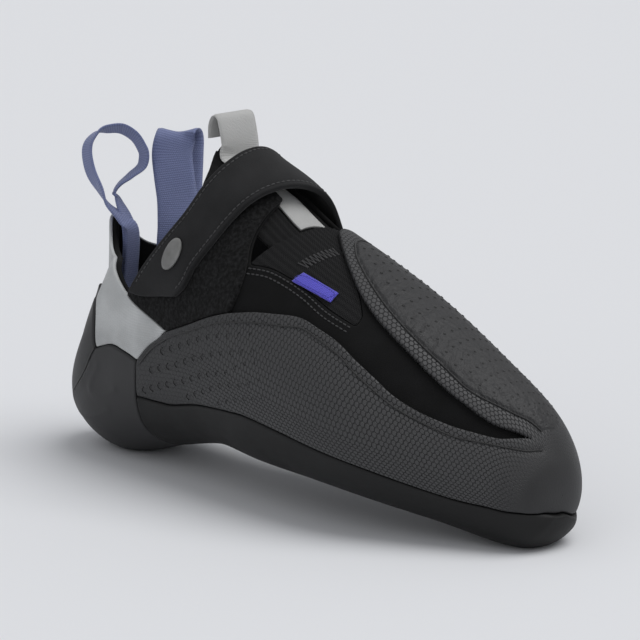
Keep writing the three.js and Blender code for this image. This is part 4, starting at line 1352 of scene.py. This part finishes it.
strap_rows = [
    seam(inset(strap_low[6:-6], 2.0), strap_top),
    seam(inset(strap_high[6:-6], 2.0), strap_top),
]
gusset_rows = [seam(inset(gusset_low[2:-2], side), UPPER_WALL + 0.05) for side in (-1.6, -3.6)]
tag_rows = [seam(curve([(4.72, 144.6), (5.33, 142.5), (5.24, 146.6), (4.7, 148.6), (4.72, 144.6)]),
                 OVER_UPPER + TAG + 0.02)]
steps = np.arange(0, 19)
zigzag = np.stack([np.interp(steps, [0, 18], [5.40, 5.19]) + 0.09 * (-1) ** steps,
                   np.interp(steps, [0, 18], [151, 172])], -1)
zigzag_rows = [seam(resampled_pairs, CLEARANCE + GUSSET + 0.2) for resampled_pairs in (zigzag,)]

seam_pieces = {
    "strap": stitches("strap_stitches", strap_rows, "black thread"),
    "upper": stitches("throat_stitches", gusset_rows, "black thread", pitch=2.0),
    "side_tag": stitches("tag_stitches", tag_rows, "label", pitch=1.2, radius=0.14),
    "gusset": stitches("gusset_zigzag", zigzag_rows, "black thread", pitch=0.8, radius=0.24, fill=1.3),
}
print("stitch faces:", {o.name: len(o.data.polygons) for o in seam_pieces.values()})

# %% [markdown]
# The mould leaves fine lines in the rubber: one inside the top edge of the rand, one round the
# toe patch and a few on the heel cup. They are finer than the net of the rand, so each is a
# thin round bead laid into its groove in a near-black finish: painted shade, as at the bottom
# of a real cut.

# %% Fine lines in the rubber
def bead(name, runs, radius, finish):
    """Thin round lines through places on the last."""
    data = bpy.data.curves.new(name, "CURVE")
    data.dimensions = "3D"
    data.bevel_depth, data.bevel_resolution = radius * MM, 2
    for run in runs:
        line = data.splines.new("POLY")
        line.points.add(len(run) - 1)
        line.points.foreach_set("co", np.column_stack([run, np.ones(len(run))]).ravel())
    drawn = bpy.data.objects.new(name + "_path", data)
    bpy.context.scene.collection.objects.link(drawn)
    graph = bpy.context.evaluated_depsgraph_get()
    mesh = bpy.data.meshes.new_from_object(drawn.evaluated_get(graph))
    bpy.data.objects.remove(drawn)
    item = bpy.data.objects.new(name, mesh)
    bpy.context.scene.collection.objects.link(item)
    mesh.materials.clear()
    mesh.materials.append(finishes[finish])
    mesh.shade_smooth()
    return item


# Painted shade: the beads are near-black, darker than the rubber round them.
rand_lines = bead("rand_groove_lines", [
    seam(rand_groove, OVER_RAND - 0.16), seam(patch_groove, OVER_RAND - 0.16),
], 0.3, "groove")
cup_lines = bead("heel_cup_lines", [
    seam(line, lambda s, a: sole_face(s, a, None, None) + 0.05) for line in (u_line_outer, u_line_inner, sling_line)
], 0.22, "groove")
print("line faces:", len(rand_lines.data.polygons), len(cup_lines.data.polygons))

# %% [markdown]
# The side of the rand carries rows of small raised crescents, moulded in the rubber for grip.
# One crescent is an arc swept by a thin round, and Geometry Nodes copies it to each place of a
# row, standing on the surface. Each arc is near-black, darker than the rubber: painted shade of
# the moulded crescent.

# %% Moulded crescents
def mark_tree():
    """Input: points with the attributes "out" and "along"; makes one arc on each."""
    tree = bpy.data.node_groups.new("moulded marks", "GeometryNodeTree")
    face = tree.interface
    face.new_socket("Geometry", in_out="INPUT", socket_type="NodeSocketGeometry")
    for label in ("Radius", "Thickness", "Sweep"):
        face.new_socket(label, in_out="INPUT", socket_type="NodeSocketFloat")
    face.new_socket("Material", in_out="INPUT", socket_type="NodeSocketMaterial")
    face.new_socket("Geometry", in_out="OUTPUT", socket_type="NodeSocketGeometry")
    n, link = tree.nodes, tree.links.new
    source, result = n.new("NodeGroupInput"), n.new("NodeGroupOutput")
    arc = n.new("GeometryNodeCurveArc")
    arc.inputs["Resolution"].default_value = 9
    section = n.new("GeometryNodeCurvePrimitiveCircle")
    section.inputs["Resolution"].default_value = 8
    sweep = n.new("GeometryNodeCurveToMesh")
    sweep.inputs["Fill Caps"].default_value = True
    readers = []
    for label in ("out", "along"):
        read = n.new("GeometryNodeInputNamedAttribute")
        read.data_type = "FLOAT_VECTOR"
        read.inputs["Name"].default_value = label
        readers.append(read)
    stand = n.new("FunctionNodeAlignRotationToVector")
    stand.axis = "Z"
    follow = n.new("FunctionNodeAlignRotationToVector")
    follow.axis = "X"
    follow.pivot_axis = "Z"
    place = n.new("GeometryNodeInstanceOnPoints")
    realize = n.new("GeometryNodeRealizeInstances")
    finish = n.new("GeometryNodeSetMaterial")
    turn_back = n.new("ShaderNodeMath")
    turn_back.operation = "MULTIPLY"
    turn_back.inputs[1].default_value = -0.5
    size = n.new("GeometryNodeInputNamedAttribute")
    size.data_type = "FLOAT"
    size.inputs["Name"].default_value = "size"
    link(size.outputs["Attribute"], place.inputs["Scale"])
    link(source.outputs["Sweep"], turn_back.inputs[0])
    link(turn_back.outputs[0], arc.inputs["Start Angle"])
    link(source.outputs["Radius"], arc.inputs["Radius"])
    link(source.outputs["Sweep"], arc.inputs["Sweep Angle"])
    link(source.outputs["Thickness"], section.inputs["Radius"])
    link(arc.outputs["Curve"], sweep.inputs["Curve"])
    link(section.outputs["Curve"], sweep.inputs["Profile Curve"])
    link(source.outputs["Geometry"], place.inputs["Points"])
    link(sweep.outputs["Mesh"], place.inputs["Instance"])
    link(readers[0].outputs["Attribute"], stand.inputs["Vector"])
    link(stand.outputs["Rotation"], follow.inputs["Rotation"])
    link(readers[1].outputs["Attribute"], follow.inputs["Vector"])
    link(follow.outputs["Rotation"], place.inputs["Rotation"])
    link(place.outputs["Instances"], realize.inputs["Geometry"])
    link(realize.outputs["Geometry"], finish.inputs["Geometry"])
    link(source.outputs["Material"], finish.inputs["Material"])
    link(finish.outputs["Geometry"], result.inputs["Geometry"])
    return tree


MARK_TREE = mark_tree()


def point_object(places, level, sizes):
    """A vertex at each place, with the way out and the way along the row."""
    places = np.asarray(places, float)
    points = last_point(places[:, 0], places[:, 1])
    out = last_normal(places[:, 0], places[:, 1])
    along = last_point(places[:, 0] + 0.05, places[:, 1]) - points
    mesh = bpy.data.meshes.new("mark places")
    mesh.from_pydata([tuple(p) for p in (points + out * level) * MM], [], [])
    for label, values in (("out", out), ("along", along)):
        store = mesh.attributes.new(label, "FLOAT_VECTOR", "POINT")
        store.data.foreach_set("vector", np.asarray(values, np.float32).ravel())
    mesh.attributes.new("size", "FLOAT", "POINT").data.foreach_set("value", np.asarray(sizes, np.float32))
    item = bpy.data.objects.new("mark places", mesh)
    bpy.context.scene.collection.objects.link(item)
    return item


def along_rows(rows, gap):
    """Places at an even gap along each row."""
    out = []
    for row in rows:
        line = curve(row, 12)
        points = last_point(line[:, 0], line[:, 1])
        length = np.append(0, np.cumsum(np.linalg.norm(np.diff(points, axis=0), axis=-1)))
        spots = np.linspace(0, length[-1], max(2, round(length[-1] / gap) + 1))
        out.append(np.stack([np.interp(spots, length, line[:, k]) for k in (0, 1)], -1))
    return np.vstack(out)


crescent_rows = [
    [(7.71, 85.5), (7.15, 93), (6.5, 101.6), (5.79, 110.8)],
    [(7.9, 74.2), (7.32, 80.2), (6.74, 91.2), (5.69, 105.2)],
    [(8.05, 62.7), (7.19, 71.1), (6.61, 82.6), (5.94, 96.6), (5.6, 102)],
    [(7.1, 62.3), (6.78, 68.6), (6.16, 84.1), (5.49, 96.2)],
    [(6.38, 68.5), (6.06, 75.6), (5.42, 89.8)],
]
crescent_gap = 5.6
crescent_places = along_rows(crescent_rows, crescent_gap)
crescent_sizes = np.interp(crescent_places[:, 0], [5.4, 6.6, 7.8], [0.5, 0.85, 1.15])
# Painted shade: the crescents take the near-black groove shadow finish.
crescents = made_by_nodes(
    "rand_crescents", point_object(crescent_places, OVER_RAND, crescent_sizes), MARK_TREE,
    {"Radius": 1.1 * MM, "Thickness": 0.26 * MM, "Sweep": math.radians(200), "Material": finishes["groove"]},
)
print("crescent faces:", len(crescents.data.polygons))

# %% [markdown]
# Small raised dots cover the toe patch, where the climber drags the foot. They are the same
# tree with a full turn and a short radius, on a regular net that fades out towards the toe.
# They are near-black, darker than the rubber they stand on: painted shade.

# %% Dots on the toe patch
def toe_dots():
    rows = np.arange(1.6, 5.2, 0.19)
    columns = np.arange(140, 236, 6.5)
    s, a = (v.ravel() for v in np.meshgrid(rows, columns, indexing="ij"))
    a = a + np.where(np.round((s - 1.6) / 0.19) % 2 == 1, 3.25, 0)
    depth = toe_patch.depth(s, a, last_point(s, a))
    return np.stack([s, a], -1)[depth > 2.5]


dot_places = toe_dots()
dot_sizes = np.interp(dot_places[:, 0], [1.6, 2.6, 4.0], [0.7, 1.0, 1.25])
# Painted shade: the dots take the near-black groove shadow finish.
dots = made_by_nodes(
    "toe_patch_dots", point_object(dot_places, OVER_RAND - 0.06, dot_sizes), MARK_TREE,
    {"Radius": 0.26 * MM, "Thickness": 0.27 * MM, "Sweep": math.radians(350), "Material": finishes["groove"]},
)
print("dot faces:", len(dots.data.polygons))

# %% [markdown]
# Every piece rides on the one body, stands for its solid in the frame and takes its finish.
# Stitches and moulded marks ride too, with the finishes they were made with.

# %% Finishes and places in the frame
pieces = [
    (upper, "upper", "microfibre", "microfibre"),
    (insole, "insole", "insole_textile", "insole"),
    (outsole, "outsole", "sole_rubber", "sole"),
    (heel_cup, "heel_cup", "rand_rubber", "rand"),
    (rand, "rand", "rand_rubber", "rand"),
    (heel_panel, "heel_panel", "panel_textile", "panel"),
    (pile_patch, "pile_patch", "loop_pile", "pile"),
    (gusset, "gusset", "rib_knit", "knit"),
    (tongue, "tongue", "rib_knit", "knit"),
    (tongue_tape, "tongue_tape", "pale_webbing", "pale tape"),
    (strap, "strap", "strap_nubuck", "strap"),
    (side_tag, "side_tag", "label_textile", "label"),
    (badge, "badge", "badge_plastic", "badge"),
    (heel_loop, "heel_loop", "blue_webbing", "blue tape"),
    (inner_loop, "inner_loop", "blue_webbing", "blue tape"),
    (tongue_loop, "tongue_loop", "pale_webbing", "pale tape"),
]
for item, node, slot, finish in pieces:
    item.data.materials.append(finishes[finish])
    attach(item, "root")
    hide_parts(node)
for part_name, item in seam_pieces.items():
    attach(item, "root")
for item in (crescents, dots, rand_lines, cup_lines):
    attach(item, "root")
print("pieces placed:", len(pieces) + len(seam_pieces) + 4)

# %% [markdown]
# The floor and the light are a plain studio: a pale floor that fades into the same pale world,
# one large soft light over the camera's left shoulder and a weaker one from behind.

# %% Floor and light
def studio_floor():
    size = 6.0
    mesh = bpy.data.meshes.new("studio_floor")
    mesh.from_pydata([(-size, -size, 0), (size, -size, 0), (size, size, 0), (-size, size, 0)], [], [(0, 1, 2, 3)])
    item = bpy.data.objects.new("studio_floor", mesh)
    bpy.context.scene.collection.objects.link(item)
    paint = bpy.data.materials.new("pale floor")
    paint.use_nodes = True
    shader = paint.node_tree.nodes["Principled BSDF"]
    shader.inputs["Base Color"].default_value = (0.8, 0.81, 0.83, 1)
    shader.inputs["Roughness"].default_value = 0.9
    mesh.materials.append(paint)
    return item


def soft_sun(name, direction, angle, strength):
    """A sun as wide as a studio softbox, so the floor stays even."""
    data = bpy.data.lights.new(name, "SUN")
    data.angle, data.energy = math.radians(angle), strength
    lamp = bpy.data.objects.new(name, data)
    bpy.context.scene.collection.objects.link(lamp)
    lamp.rotation_euler = Vector(direction).to_track_quat("Z", "Y").to_euler()
    return lamp


floor = studio_floor()
world = bpy.data.worlds.new("studio")
world.use_nodes = True
world.node_tree.nodes["Background"].inputs["Color"].default_value = (0.86, 0.87, 0.9, 1)
world.node_tree.nodes["Background"].inputs["Strength"].default_value = 0.5
bpy.context.scene.world = world
bpy.context.scene.view_settings.view_transform = "Standard"
soft_sun("key", (0.35, 0.3, 1.0), 45, 1.5)
soft_sun("front", (0.35, -1.0, 0.75), 60, 0.2)
print("studio ready")
